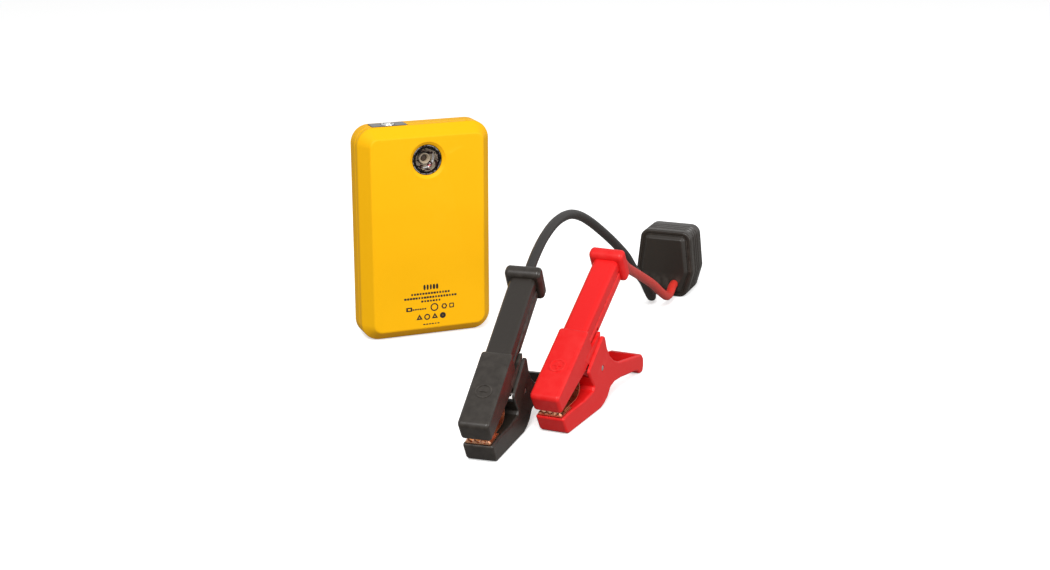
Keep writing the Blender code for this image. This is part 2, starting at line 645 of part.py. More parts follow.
def upper_shell(colour, finish, frame):
    """Jaw cover, handle top, lead collar and the two ears that the pivot pin goes through."""
    end = COVER_LENGTH
    body = place(f"{colour}_upper_shell", slab(
        ((0.3, 1.1), (0.0, TOP - 1.4), (0.5, TOP - 0.4), (1.5, TOP), (end - 1.0, TOP),
         (end, TOP - 0.9), (end, -3.6), (end - 1, -4.6), (35.5, -5.3)), 1.0, width=cover_width),
        finish, frame)
    round_edges(body, 0.9, 2)
    handle_top = TOP - HANDLE_STEP
    grip = [(end - 3.0, HANDLE_SPLIT), (CLAMP_LENGTH - 3, HANDLE_SPLIT),
            (CLAMP_LENGTH - 3, handle_top), (end - 3.0, handle_top)]
    join(body, bevelled_slab(grip, HANDLE_HALF, HANDLE_BEVEL))
    low, high = COLLAR_SPAN
    rim = CLAMP_LENGTH - COLLAR_LENGTH
    collar = [(rim, low + 1.4), (rim + 1.6, low), (CLAMP_LENGTH - 1, low + 0.4),
              (CLAMP_LENGTH, low + 1.6), (CLAMP_LENGTH, high - 2.0), (CLAMP_LENGTH - 1.6, high - 0.3),
              (rim + 2.2, high), (rim + 0.4, high - 1.0), (rim, high - 2.0)]
    join(body, bevelled_slab(collar, COLLAR_HALF, COLLAR_BEVEL))
    for side in (-1, 1):
        outer = COVER_HALF[0] - 0.1
        ear = [(37, 1), (PIVOT_U + EAR_R + 4.5, -1.2), (PIVOT_U + EAR_R + 2.2, -6)]
        ear += [(PIVOT_U + EAR_R * math.cos(a), PIVOT_W + EAR_R * math.sin(a))
                for a in (math.radians(d) for d in range(20, -201, -20))]
        join(body, slab(ear, *sorted((side * outer, side * (outer - EAR_T)))))
    inner = HANDLE_HALF - SKIN
    cut(body, slab([(SKIN, -8), (SKIN, TOP - SKIN), (end - SKIN, TOP - SKIN), (end - SKIN, -8)],
                   COVER_HALF[0] - SKIN + 0.1))
    cut(body, slab([(end - 4, -8), (end - 4, handle_top - SKIN), (rim - 1.5, handle_top - SKIN),
                    (rim - 1.5, -8)], inner))
    cut(body, along_rod(((rim - 3, LEAD_R + GAP), (CLAMP_LENGTH + 2, LEAD_R + GAP)), LUG_W))
    cut(body, clamp_rod(PIVOT_U, PIVOT_W, PIVOT_R + GAP, -12, 12))
    return body


def bevelled_slab(outline, half, bevel):
    """A slab across the clamp whose two long edge loops are chamfered."""
    cu = sum(u for u, _ in outline) / len(outline)
    cw = sum(w for _, w in outline) / len(outline)
    inner = [(u + math.copysign(min(bevel, abs(cu - u)) * 0.8, cu - u),
              w + math.copysign(min(bevel, abs(cw - w)) * 0.8, cw - w)) for u, w in outline]
    rows = [(inner, -half), (outline, -half + bevel), (outline, half - bevel), (inner, half)]
    return loft([[clamp_point(u, v, w) for u, w in shape] for shape, v in rows])


def handle_cover(colour, finish, frame):
    """Lower half of the handle, a channel under the lead and its lug."""
    start = COVER_LENGTH + GAP
    end = CLAMP_LENGTH - COLLAR_LENGTH - GAP
    top = HANDLE_SPLIT - GAP
    bottom = TOP - HANDLE_STEP - HANDLE_DEPTH
    half = HANDLE_HALF
    body = place(f"{colour}_handle_cover", slab(
        ((start, bottom + 1.0), (start + 1.0, bottom), (end, bottom), (end, top), (start, top)),
        half), finish, frame)
    round_edges(body, 0.9)
    cut(body, slab([(start - 1, bottom + SKIN), (end + 1, bottom + SKIN), (end + 1, top + 1),
                    (start - 1, top + 1)], half - SKIN))
    ears = COVER_HALF[0] - 0.1
    cut(body, slab([(start - 1, bottom - 1), (PIVOT_U + EAR_R + 5.6, bottom - 1),
                    (PIVOT_U + EAR_R + 5.6, 1.5), (start - 1, 1.5)], ears - EAR_T - GAP, ears + 1))
    cut(body, slab([(start - 1, bottom - 1), (PIVOT_U + EAR_R + 5.6, bottom - 1),
                    (PIVOT_U + EAR_R + 5.6, 1.5), (start - 1, 1.5)], -ears - 1, EAR_T + GAP - ears))
    return body


def lower_width(u, w, v):
    """The lower shell flares from the jaw's width to the cheeks' width."""
    jaw = COVER_HALF[1]
    cheek = jaw + RUN + CHEEK_T
    share = min(1.0, max(0.0, (u - 6) / 28))
    return math.copysign(jaw + (cheek - jaw) * share, v)


def lower_outline():
    """Side view of the lower shell: jaw, belly, lever, lip, cheek and mouth."""
    return [(0.0, -2.4), (0.2, -13.4), (1.7, floor_w(1.7)), (37.0, floor_w(37.0)), (42.0, -39.2),
            (47.5, -39.9), (53.0, -38.4), (59.0, -40.6), (67.0, -46.4), (76.0, -54.0),
            (84.0, -60.6), (88.0, -64.6), (89.3, floor_w(89.3) + 0.6), (90.4, floor_w(90.4)),
            (93.4, floor_w(93.4)), (96.8, -69.0), (98.6, -65.2), (97.6, -61.0), (88.0, -52.4),
            (78.0, -43.4), (70.0, -36.4), (65.0, -29.6), (61.4, -21.6), (60.6, -14.0),
            (61.6, -6.4), (59.2, -3.6), (36.4, -4.9), (34.8, -6.0), (35.6, -13.0),
            (36.6, -18.6), (34.4, -19.8), (24.0, -15.4), (12.0, -8.9)]


def lower_shell(colour, finish, pivot):
    """Lower jaw, the cheeks outside the cover and the open lever with its end lip."""
    origin = clamp_point(PIVOT_U, 0, PIVOT_W)
    body = place(f"{colour}_lower_shell", slab(lower_outline(), 1.0, width=lower_width), finish,
                 pivot, origin)
    body.location = (0, 0, 0)
    round_edges(body, 1.3)
    inner = COVER_HALF[1] + RUN
    well = [(30.5, 3), (70, 3), (95.4, -55.6), (86.8, -66.2), (60.0, -46.0), (58.4, -36.4),
            (50.5, -37.2), (42.0, -35.6), (39.0, -24.0), (37.0, -15.0)]
    cut(body, slab(well, inner), origin).object.location = (0, 0, 0)
    bore = clamp_rod(PIVOT_U, PIVOT_W, PIVOT_R + GAP, -13, 13)
    cut(body, bore, origin).object.location = (0, 0, 0)
    seat = slab(lower_plate_outline(GAP), PLATE_HALF + GAP)
    cut(body, seat, origin).object.location = (0, 0, 0)
    return body


def lower_plate_outline(grow=0.0):
    """Side view of the lower jaw plate, let into the top of the lower jaw."""
    g = grow
    return [(1.3 - g, -5.4 - g), (1.3 - g, -0.9 + g), (1.3 + PLATE_T + g, -0.9 + g),
            (2.6 + g, -3.1 + g), (12.0, -8.1 + g), (13.5 + g, -8.9 + g),
            (13.5 + g, -10.5 - g), (12.0, -9.7 - g), (2.4, -5.4 - g)]


def teeth(u0, u1, tip, root):
    """A row of wedges to cut between teeth, across a plate's biting edge."""
    width = 2 * (PLATE_HALF + 0.4)
    pitch = width / TOOTH_COUNT
    zigzag = []
    for i in range(TOOTH_COUNT + 1):
        v = -width / 2 + i * pitch
        zigzag.append((v, root))
        if i < TOOTH_COUNT:
            zigzag.append((v + pitch / 2, tip))
    beyond = tip + 3 * (tip - root)
    outline = zigzag + [(width / 2, beyond), (-width / 2, beyond)]
    return loft([[clamp_point(u, v, w) for v, w in outline] for u in (u0, u1)])


def lower_plate(colour, finish, pivot):
    """Toothed copper plate on the lower jaw."""
    origin = clamp_point(PIVOT_U, 0, PIVOT_W)
    body = place(f"{colour}_lower_plate", slab(lower_plate_outline(), PLATE_HALF), finish, pivot,
                 origin)
    body.location = (0, 0, 0)
    comb = teeth(0, 1.3 + PLATE_T + 1.2, -0.9 + 0.2, -0.9 - TOOTH_H)
    cut(body, comb, origin).object.location = (0, 0, 0)


def upper_plate(colour, finish, frame):
    """Toothed copper plate inside the jaw cover, where the lug is screwed down."""
    low = LUG_W - LUG_T / 2 - GAP - PLATE_T
    lead = SKIN + GAP
    half = COVER_HALF[0] - SKIN + 0.1 - GAP
    body = place(f"{colour}_upper_plate", slab(
        ((lead, -0.4), (lead + PLATE_T, -0.4), (lead + PLATE_T, low), (34, low),
         (34, low + PLATE_T), (lead, low + PLATE_T)), half), finish, frame)
    cut(body, teeth(0, lead + PLATE_T + 1, -0.6, -0.4 + TOOTH_H))
    cut(body, vertical_rod(LUG_SCREW_U, SCREW_R + GAP, -4, 9))


def vertical_rod(u, radius, w0, w1, sides=12):
    """A round bar square to the clamp's top."""
    rings = []
    for w in (w0, w1):
        rings.append([clamp_point(u + radius * math.cos(a), radius * math.sin(a), w)
                      for a in (2 * math.pi * i / sides for i in range(sides))])
    return loft(rings)


def cable_lug(colour, finish, frame):
    """Crimped ferrule on the lead's core and the strip that is screwed to the upper plate."""
    tip = CLAMP_LENGTH - COLLAR_LENGTH - 9
    small, full = FERRULE_R
    ferrule = tip - FERRULE_L
    body = place(f"{colour}_cable_lug", slab(
        ((LUG_START, LUG_W - LUG_T / 2), (ferrule + 2, LUG_W - LUG_T / 2),
         (ferrule + 2, LUG_W + LUG_T / 2), (LUG_START, LUG_W + LUG_T / 2)), LUG_HALF), finish, frame)
    join(body, along_rod(((ferrule, small), (ferrule + 1, full), (tip, full)), LUG_W))
    cut(body, vertical_rod(LUG_SCREW_U, SCREW_R + GAP, 2, 9))
    return tip


def lug_screw(colour, finish, frame):
    """Screw through the lug and the upper plate."""
    seat = LUG_W + LUG_T / 2 + GAP
    body = place(f"{colour}_lug_screw", vertical_rod(LUG_SCREW_U, SCREW_R, 0.6, seat + 0.4), finish,
                 frame)
    join(body, vertical_rod(LUG_SCREW_U, SCREW_HEAD_R, seat, seat + 1.5))


def pivot_pin(colour, finish, frame):
    """Steel pin through the cheeks and the ears."""
    outside = COVER_HALF[1] + RUN + CHEEK_T
    place(f"{colour}_pivot_pin", clamp_rod(PIVOT_U, PIVOT_W, PIVOT_R, -outside, outside), finish,
          frame, clamp_point(PIVOT_U, 0, PIVOT_W))


def torsion_spring(colour, finish, frame):
    """Coil round the pin, one leg under the handle and one towards the lever."""
    points = []
    half = SPRING_HALF
    count = SPRING_TURNS * SPRING_STEPS
    start = math.radians(60)
    for i in range(count + 1):
        a = start - 2 * math.pi * i / SPRING_STEPS
        v = -half + 2 * half * i / count
        points.append(clamp_point(PIVOT_U + SPRING_R * math.cos(a), v,
                                  PIVOT_W + SPRING_R * math.sin(a)))
    upper, under, lower, below = SPRING_LEGS
    first = clamp_point(PIVOT_U + upper, -half, TOP - HANDLE_STEP - HANDLE_DEPTH - under)
    last = clamp_point(PIVOT_U + lower, half, PIVOT_W - below)
    tube(f"{colour}_torsion_spring", [first, *points, last], SPRING_WIRE_R, finish, frame, 1)


def jaw_strap(colour, finish, frame):
    """Flexible copper strap from over the lower plate, along the jaw and up into the cover."""
    under = []
    for i, here in enumerate(STRAP_ROUTE):
        before = Vector(STRAP_ROUTE[max(i - 1, 0)])
        after = Vector(STRAP_ROUTE[min(i + 1, len(STRAP_ROUTE) - 1)])
        ahead = (after - before).normalized()
        under.append((here[0] - ahead.y * STRAP_T, here[1] + ahead.x * STRAP_T))
    place(f"{colour}_jaw_strap", slab([*STRAP_ROUTE, *reversed(under)], STRAP_HALF), finish, frame)


def clamp(colour, at, heading, moulding, copper, steel):
    """One spring clamp, standing on its lower jaw and its lever."""
    standing = (Matrix.Translation(Vector((*at, 0)) * MM)
                @ Matrix.Rotation(-math.radians(heading), 4, "Z"))
    frame = empty(f"{colour}_clamp", standing)
    hinge = Vector(clamp_point(PIVOT_U, 0, PIVOT_W)) * MM
    pivot = empty(f"{colour}_pivot", Matrix.Translation(hinge), frame)
    upper_shell(colour, moulding, frame)
    handle_cover(colour, moulding, frame)
    lower_shell(colour, moulding, pivot)
    upper_plate(colour, copper, frame)
    lower_plate(colour, copper, pivot)
    jaw_strap(colour, copper, frame)
    tip = cable_lug(colour, copper, frame)
    lug_screw(colour, steel, frame)
    pivot_pin(colour, steel, frame)
    torsion_spring(colour, steel, frame)
    return standing, tip


# ------------------------------------------------------------------ plug block
def soft_polygon(corners, radii, steps=3):
    """Outline with each corner rounded, steps + 1 points to a corner. A corner that lies
    on a straight side is spread along it, so that outlines of the same plan can be lofted."""
    points = []
    for i, corner in enumerate(corners):
        here = Vector(corner)
        before = (Vector(corners[i - 1]) - here).normalized()
        after = (Vector(corners[(i + 1) % len(corners)]) - here).normalized()
        half_angle = before.angle(after) / 2
        if half_angle > math.radians(89):
            points += [here + before * radii[i] * (1 - 2 * k / steps) for k in range(steps + 1)]
            continue
        middle = here + (before + after).normalized() * radii[i] / math.sin(half_angle)
        reach = radii[i] / math.tan(half_angle)
        start = here + before * reach - middle
        sweep = start.angle_signed(here + after * reach - middle)
        points += [middle + Matrix.Rotation(-sweep * k / steps, 2) @ start
                   for k in range(steps + 1)]
    return [(p.x, p.y) for p in points]


def plug_ring(y, inset=0.0):
    """The plug block's section at one depth: narrow top, wide waist, narrower foot."""
    top, waist, foot = (half - inset for half in PLUG_HALF)
    corners = [(top, PLUG_H - inset), (-top, PLUG_H - inset), (-waist, PLUG_WAIST_H),
               (-foot, inset), (foot, inset), (waist, PLUG_WAIST_H)]
    tight = max(PLUG_CORNER_R - inset, 1.2)
    wide = max(PLUG_WAIST_R - inset, 2.0)
    radii = [tight, tight, wide, tight, tight, wide]
    return [(x, y, z) for x, z in soft_polygon(corners, radii)]


def nose_ring(y, inset=0.0):
    """The nose's section, on the same plan as the block's."""
    half_w = PLUG_NOSE[0] - inset
    half_h = PLUG_NOSE[1] - inset
    corners = [(half_w, half_h), (-half_w, half_h), (-half_w, 0), (-half_w, -half_h),
               (half_w, -half_h), (half_w, 0)]
    tight = max(PLUG_NOSE_R - inset, 0.6)
    radii = [tight, tight, 1.0, tight, tight, 1.0]
    return [(x, y, PLUG_NOSE_Z + z) for x, z in soft_polygon(corners, radii)]


def plug_cap(finish, frame):
    """The end that the leads go into: a frame with a raised pillow and two lead holes."""
    rings = [plug_ring(-PLUG_PILLOW, 5.4), plug_ring(-PLUG_PILLOW + 0.5, 4.2),
             plug_ring(-0.3, 3.2), plug_ring(0.0, 2.2), plug_ring(0.0, 1.0),
             plug_ring(0.8, 0.2), plug_ring(PLUG_CAP_T, 0.0)]
    body = place("plug_cap", loft(rings), finish, frame)
    for x, z in LEAD_HOLES:
        cut(body, rod((x, 0, z), (0, 1, 0), LEAD_R + GAP, -PLUG_PILLOW - 2, PLUG_CAP_T + 1, 16))


def plug_body(finish, frame):
    """Ribbed block that tapers to the nose, hollow from the cap's side."""
    start = PLUG_CAP_T + GAP
    rings = [plug_ring(start, 0.0)]
    for i in range(PLUG_RIB_COUNT):
        y = start + 1.2 + i * PLUG_RIB_PITCH
        rings += [plug_ring(y, 0.0), plug_ring(y + 0.5, PLUG_RIB), plug_ring(y + 1.4, PLUG_RIB),
                  plug_ring(y + 1.9, 0.0)]
    end = start + PLUG_BODY_L
    nose = end + PLUG_TAPER_L
    rings += [plug_ring(end, 0.0), plug_ring(end + 1.0, 0.8), nose_ring(nose - 4.5),
              nose_ring(nose), nose_ring(nose, PLUG_WALL + 0.4),
              nose_ring(nose - 5.0, PLUG_WALL + 0.4), plug_ring(end - 1, PLUG_WALL + PLUG_RIB),
              plug_ring(start, PLUG_WALL + PLUG_RIB)]
    mesh = bmesh.new()
    rows = [[mesh.verts.new(p) for p in ring] for ring in rings]
    count = len(rows[0])
    for low, high in zip(rows, rows[1:] + rows[:1]):
        for i in range(count):
            j = (i + 1) % count
            mesh.faces.new((low[i], low[j], high[j], high[i]))
    place("plug_body", mesh, finish, frame)
    return nose


def plug_insides(nose, housing, brass, board, relay, frame):
    """Connector insert with its two sleeves, and the control board with its relay."""
    tall, wide = (size - SOCKET_FIT for size in SOCKET_SIZE)
    outline = rounded_rectangle(wide, tall, 2.0, 3)
    front = nose - INSERT_INSIDE
    end = front + INSERT_LENGTH
    insert = place("plug_insert", loft([[(x, y, PLUG_NOSE_Z + z) for x, z in outline]
                                        for y in (front, end)]), housing, frame)
    sleeve = PIN_R + RUN + CONTACT_WALL
    for side, name in ((-1, "plug_contact_negative"), (1, "plug_contact_positive")):
        at = (side * PIN_PITCH / 2, 0, PLUG_NOSE_Z)
        cut(insert, rod(at, (0, 1, 0), sleeve + GAP, front - 1, end + 1, 16))
        contact = place(name, rod(at, (0, 1, 0), sleeve, front - 4, end - 0.6, 16), brass, frame)
        cut(contact, rod(at, (0, 1, 0), PIN_R + RUN, front + 3, end + 2, 16))
    inside = PLUG_CAP_T + GAP + 3.5
    level = PLUG_NOSE_Z - sleeve - GAP - BOARD_T
    place("plug_board", box((-PLUG_BOARD_HALF, inside, level),
                            (PLUG_BOARD_HALF, front - 7.0, level + BOARD_T)), board, frame)
    wide, long, tall = RELAY_SIZE
    floor = level + BOARD_T + GAP
    place("plug_relay", box((-wide / 2, inside, floor), (wide / 2, inside + long, floor + tall)),
          relay, frame)


def plug(mouldings, brass, board, relay):
    """The plug block, standing on its foot with the nose turned away."""
    standing = (Matrix.Translation(Vector((*PLUG_AT, 0)) * MM)
                @ Matrix.Rotation(-math.radians(PLUG_HEADING), 4, "Z"))
    frame = empty("plug", standing)
    plug_cap(mouldings, frame)
    nose = plug_body(mouldings, frame)
    plug_insides(nose, mouldings, brass, board, relay, frame)
    return standing


# ------------------------------------------------------------------ leads
def lead(colour, route, clamp_frame, tip, plug_frame, hole, finish):
    """One lead: out of the clamp's collar, over and down to the table, into the cap."""
    def in_clamp(u):
        return clamp_frame @ (Vector(clamp_point(u, 0, LUG_W)) * MM) / MM

    def in_plug(y):
        return plug_frame @ (Vector((hole[0], y, hole[1])) * MM) / MM

    start = [in_clamp(tip + GAP), in_clamp(CLAMP_LENGTH + 1.0)]
    finish_points = [in_plug(-PLUG_PILLOW - 2.5), in_plug(1.0), in_plug(PLUG_CAP_T + LEAD_INSIDE)]
    points = smooth_route([*start, *route, *finish_points], 2 * LEAD_R * LEAD_STEP)
    return tube(f"{colour}_lead", points, LEAD_R, finish, None, 2)


def build():
    """Build the whole set."""
    clear_scene()
    yellow = material("yellow_moulding", (0.95, 0.50, 0.01), 0.45)
    gloss = material("gloss_black", (0.01, 0.01, 0.01), 0.12)
    silver = material("satin_silver", (0.8, 0.8, 0.8), 0.3, 0.8)
    chrome = material("chrome", (0.9, 0.9, 0.9), 0.08, 1.0)
    clear = material("clear_plastic", (0.9, 0.93, 0.95), 0.05)
    black = material("black_moulding", (0.02, 0.018, 0.016), 0.5)
    red = material("red_moulding", (0.80, 0.02, 0.02), 0.4)
    rubber = material("black_rubber", (0.015, 0.015, 0.015), 0.7)
    red_rubber = material("red_rubber", (0.65, 0.03, 0.02), 0.6)
    copper = material("copper", (0.85, 0.42, 0.25), 0.3, 1.0)
    brass = material("brass", (0.85, 0.62, 0.25), 0.3, 1.0)
    steel = material("steel", (0.6, 0.6, 0.6), 0.3, 1.0)
    board = material("circuit_board", (0.02, 0.2, 0.07), 0.5)
    foil = material("cell_foil", (0.6, 0.6, 0.62), 0.35, 0.7)
    foam = material("foam", (0.1, 0.1, 0.1), 0.9)
    front_shell(yellow)
    rear_shell(yellow)
    shell_screws(steel)
    top_controls(gloss, silver, black)
    lamp(chrome, clear, board)
    over_cells = battery(foil, foam, steel)
    main_board(board, over_cells)
    side_ports(black, steel, board, brass)
    port_cover(rubber)
    plug_frame = plug(black, brass, board, black)
    for (colour, at, heading), moulding, cord, route, hole in zip(
            CLAMPS, (black, red), (rubber, red_rubber), (BLACK_ROUTE, RED_ROUTE), LEAD_HOLES):
        clamp_frame, tip = clamp(colour, at, heading, moulding, copper, steel)
        lead(colour, route, clamp_frame, tip, plug_frame, hole, cord)


build()
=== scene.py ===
"""Visual model of a jump starter pack: the slim battery pack and its separate lead set.

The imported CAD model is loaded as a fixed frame. Each sub-assembly is a class that holds
its sizes in millimetres, builds its pieces in the frame's own axes and dresses them.
"""

import logging
import math
from collections.abc import Callable, Sequence
from dataclasses import dataclass, field
from enum import Enum

import bmesh
import bpy
from mathutils import Matrix, Vector


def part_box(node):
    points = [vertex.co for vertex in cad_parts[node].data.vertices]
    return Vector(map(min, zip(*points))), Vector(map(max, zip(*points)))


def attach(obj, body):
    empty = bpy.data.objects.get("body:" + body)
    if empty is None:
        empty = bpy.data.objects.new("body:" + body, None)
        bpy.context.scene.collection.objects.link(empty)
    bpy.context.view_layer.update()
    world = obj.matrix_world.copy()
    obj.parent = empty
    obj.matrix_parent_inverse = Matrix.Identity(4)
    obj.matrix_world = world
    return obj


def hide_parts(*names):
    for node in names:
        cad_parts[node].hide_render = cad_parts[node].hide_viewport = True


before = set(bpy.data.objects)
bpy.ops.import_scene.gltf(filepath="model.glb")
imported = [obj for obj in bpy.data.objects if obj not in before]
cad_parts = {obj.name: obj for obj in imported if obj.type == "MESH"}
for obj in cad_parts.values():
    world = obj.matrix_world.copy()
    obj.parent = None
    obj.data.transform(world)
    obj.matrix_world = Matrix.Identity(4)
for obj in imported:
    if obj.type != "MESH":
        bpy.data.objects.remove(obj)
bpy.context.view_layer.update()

MM = 0.001
IDENTITY = Matrix.Identity(4)
GAP = 0.3                # between pieces that touch
RUN = 0.35               # between pieces that slide or turn past each other
WALL = 2.0               # moulded walls of the pack
LEAD_R = 2.75
PAST = 3.0               # how far a cutting shape runs past a face
Colour = tuple[float, float, float]
Point = tuple[float, float]
Spot = tuple[float, float, float]
Node = bpy.types.Node
Socket = bpy.types.NodeSocket
Tree = bpy.types.NodeTree
Shape = bmesh.types.BMesh
log = logging.getLogger("jump_starter")


# ---------------------------------------------------------------- node trees
class Bench:
    """Adds nodes to one tree and joins their sockets.

    Args:
        tree: the shader or geometry tree that is worked on.
    """

    def __init__(self, tree: Tree) -> None:
        """Keep the tree."""
        self.tree = tree

    def add(self, kind: str, inputs: dict[str | int, object] | None = None,
            **settings: object) -> Node:
        """Add a node.

        Args:
            kind: the node's type name.
            inputs: socket name or number, to a value or to another node's output.
            settings: the node's own properties.

        Returns:
            The new node.
        """
        node = self.tree.nodes.new(kind)
        for key, value in settings.items():
            setattr(node, key, value)
        for key, value in (inputs or {}).items():
            if isinstance(value, Socket):
                self.tree.links.new(value, node.inputs[key])
            else:
                node.inputs[key].default_value = value
        return node

    def feed(self, value: Socket, node: Node, name: str) -> None:
        """Join a value to a node's named input."""
        self.tree.links.new(value, node.inputs[name])

    def ramp(self, factor: Socket, low: float, high: float,
             start: float = 0.0, end: float = 1.0) -> Socket:
        """Stretch a value from one range to another, held inside it."""
        node = self.add("ShaderNodeMapRange", {0: factor, 1: low, 2: high, 3: start, 4: end})
        return node.outputs[0]

    def multiply(self, first: object, second: object) -> Socket:
        """Multiply two values or sockets."""
        return self.add("ShaderNodeMath", {0: first, 1: second}, operation="MULTIPLY").outputs[0]

    def plus(self, first: object, second: object) -> Socket:
        """Add two values or sockets."""
        return self.add("ShaderNodeMath", {0: first, 1: second}, operation="ADD").outputs[0]

    def blend(self, factor: object, first: object, second: object) -> Socket:
        """Mix two colours by a factor."""
        node = self.add("ShaderNodeMix", {0: factor, 6: first, 7: second}, data_type="RGBA")
        return node.outputs[2]


def new_group(name: str, kind: str, inputs: Sequence[tuple[str, str, object]],
              outputs: Sequence[tuple[str, str]]) -> tuple[Bench, Node, Node]:
    """Start a node group with named sockets.

    Args:
        name: the group's name.
        kind: tree type, shader or geometry.
        inputs: name, socket type and default of each input.
        outputs: name and socket type of each output.

    Returns:
        A bench on the group, its input node and its output node.
    """
    tree = bpy.data.node_groups.new(name, kind)
    for label, socket, default in inputs:
        made = tree.interface.new_socket(label, in_out="INPUT", socket_type=socket)
        if default is not None:
            made.default_value = default
    for label, socket in outputs:
        tree.interface.new_socket(label, in_out="OUTPUT", socket_type=socket)
    bench = Bench(tree)
    return bench, bench.add("NodeGroupInput"), bench.add("NodeGroupOutput")


COLOUR_DRIFT = 22.0      # repeats in a metre: the drift of colour over a moulding,
RUBBED_PATCHES = 260.0   # the patches where an edge is rubbed,
DUST_SPECKS = 900.0      # and the specks of dust


class Effects:
    """Shader groups that more than one finish uses."""

    def __init__(self) -> None:
        """Build each group once."""
        self.grain = self._grain()
        self.wear = self._wear()
        self.dust = self._dust()
        self.scratches = self._scratches()

    def _grain(self) -> Tree:
        """Spark-eroded mould texture and the slow drift of colour in a moulding."""
        bench, inlet, outlet = new_group(
            "mould_grain", "ShaderNodeTree",
            [("Vector", "NodeSocketVector", None), ("Scale", "NodeSocketFloat", 1800.0)],
            [("Height", "NodeSocketFloat"), ("Drift", "NodeSocketFloat")])
        fine = bench.add("ShaderNodeTexNoise", {"Vector": inlet.outputs["Vector"],
                                                "Scale": inlet.outputs["Scale"], "Detail": 3.0})
        pits = bench.add("ShaderNodeTexVoronoi", {"Vector": inlet.outputs["Vector"],
                                                  "Scale": inlet.outputs["Scale"]})
        height = bench.plus(bench.multiply(fine.outputs[0], 0.7),
                            bench.multiply(pits.outputs["Distance"], 0.3))
        slow = bench.add("ShaderNodeTexNoise", {"Vector": inlet.outputs["Vector"],
                                                "Scale": COLOUR_DRIFT, "Detail": 4.0})
        bench.feed(height, outlet, "Height")
        bench.feed(bench.ramp(slow.outputs[0], 0.3, 0.7), outlet, "Drift")
        return bench.tree

    def _wear(self) -> Tree:
        """Where hands and tables have rubbed the outside edges."""
        bench, inlet, outlet = new_group(
            "edge_wear", "ShaderNodeTree",
            [("Vector", "NodeSocketVector", None), ("Amount", "NodeSocketFloat", 0.5)],
            [("Mask", "NodeSocketFloat")])
        shape = bench.add("ShaderNodeNewGeometry")
        edge = bench.ramp(shape.outputs["Pointiness"], 0.505, 0.58)
        patchy = bench.add("ShaderNodeTexNoise", {"Vector": inlet.outputs["Vector"],
                                                  "Scale": RUBBED_PATCHES, "Detail": 5.0})
        broken = bench.multiply(edge, bench.ramp(patchy.outputs[0], 0.35, 0.65))
        bench.feed(bench.multiply(broken, inlet.outputs["Amount"]), outlet, "Mask")
        return bench.tree

    def _dust(self) -> Tree:
        """Fine dust on faces that look up."""
        bench, inlet, outlet = new_group(
            "settled_dust", "ShaderNodeTree",
            [("Vector", "NodeSocketVector", None), ("Amount", "NodeSocketFloat", 0.1)],
            [("Mask", "NodeSocketFloat")])
        shape = bench.add("ShaderNodeNewGeometry")
        upward = bench.add("ShaderNodeSeparateXYZ", {0: shape.outputs["Normal"]})
        specks = bench.add("ShaderNodeTexNoise", {"Vector": inlet.outputs["Vector"],
                                                  "Scale": DUST_SPECKS, "Detail": 6.0})
        mask = bench.multiply(bench.ramp(upward.outputs["Z"], 0.2, 1.0),
                              bench.ramp(specks.outputs[0], 0.45, 0.75))
        bench.feed(bench.multiply(mask, inlet.outputs["Amount"]), outlet, "Mask")
        return bench.tree

    def _scratches(self) -> Tree:
        """Fine lines along one direction, as on drawn or brushed metal."""
        bench, inlet, outlet = new_group(
            "drawn_lines", "ShaderNodeTree",
            [("Vector", "NodeSocketVector", None), ("Scale", "NodeSocketFloat", 900.0)],
            [("Height", "NodeSocketFloat")])
        stretched = bench.add("ShaderNodeMapping", {"Vector": inlet.outputs["Vector"],
                                                    "Scale": (1.0, 0.06, 1.0)})
        lines = bench.add("ShaderNodeTexNoise", {"Vector": stretched.outputs[0],
                                                 "Scale": inlet.outputs["Scale"], "Detail": 4.0})
        bench.feed(lines.outputs[0], outlet, "Height")
        return bench.tree


EFFECTS = Effects()


# ---------------------------------------------------------------- finishes
MADE: dict[str, bpy.types.Material] = {}
DUST = (0.55, 0.53, 0.5, 1.0)
LINT = (0.5, 0.5, 0.5, 1.0)


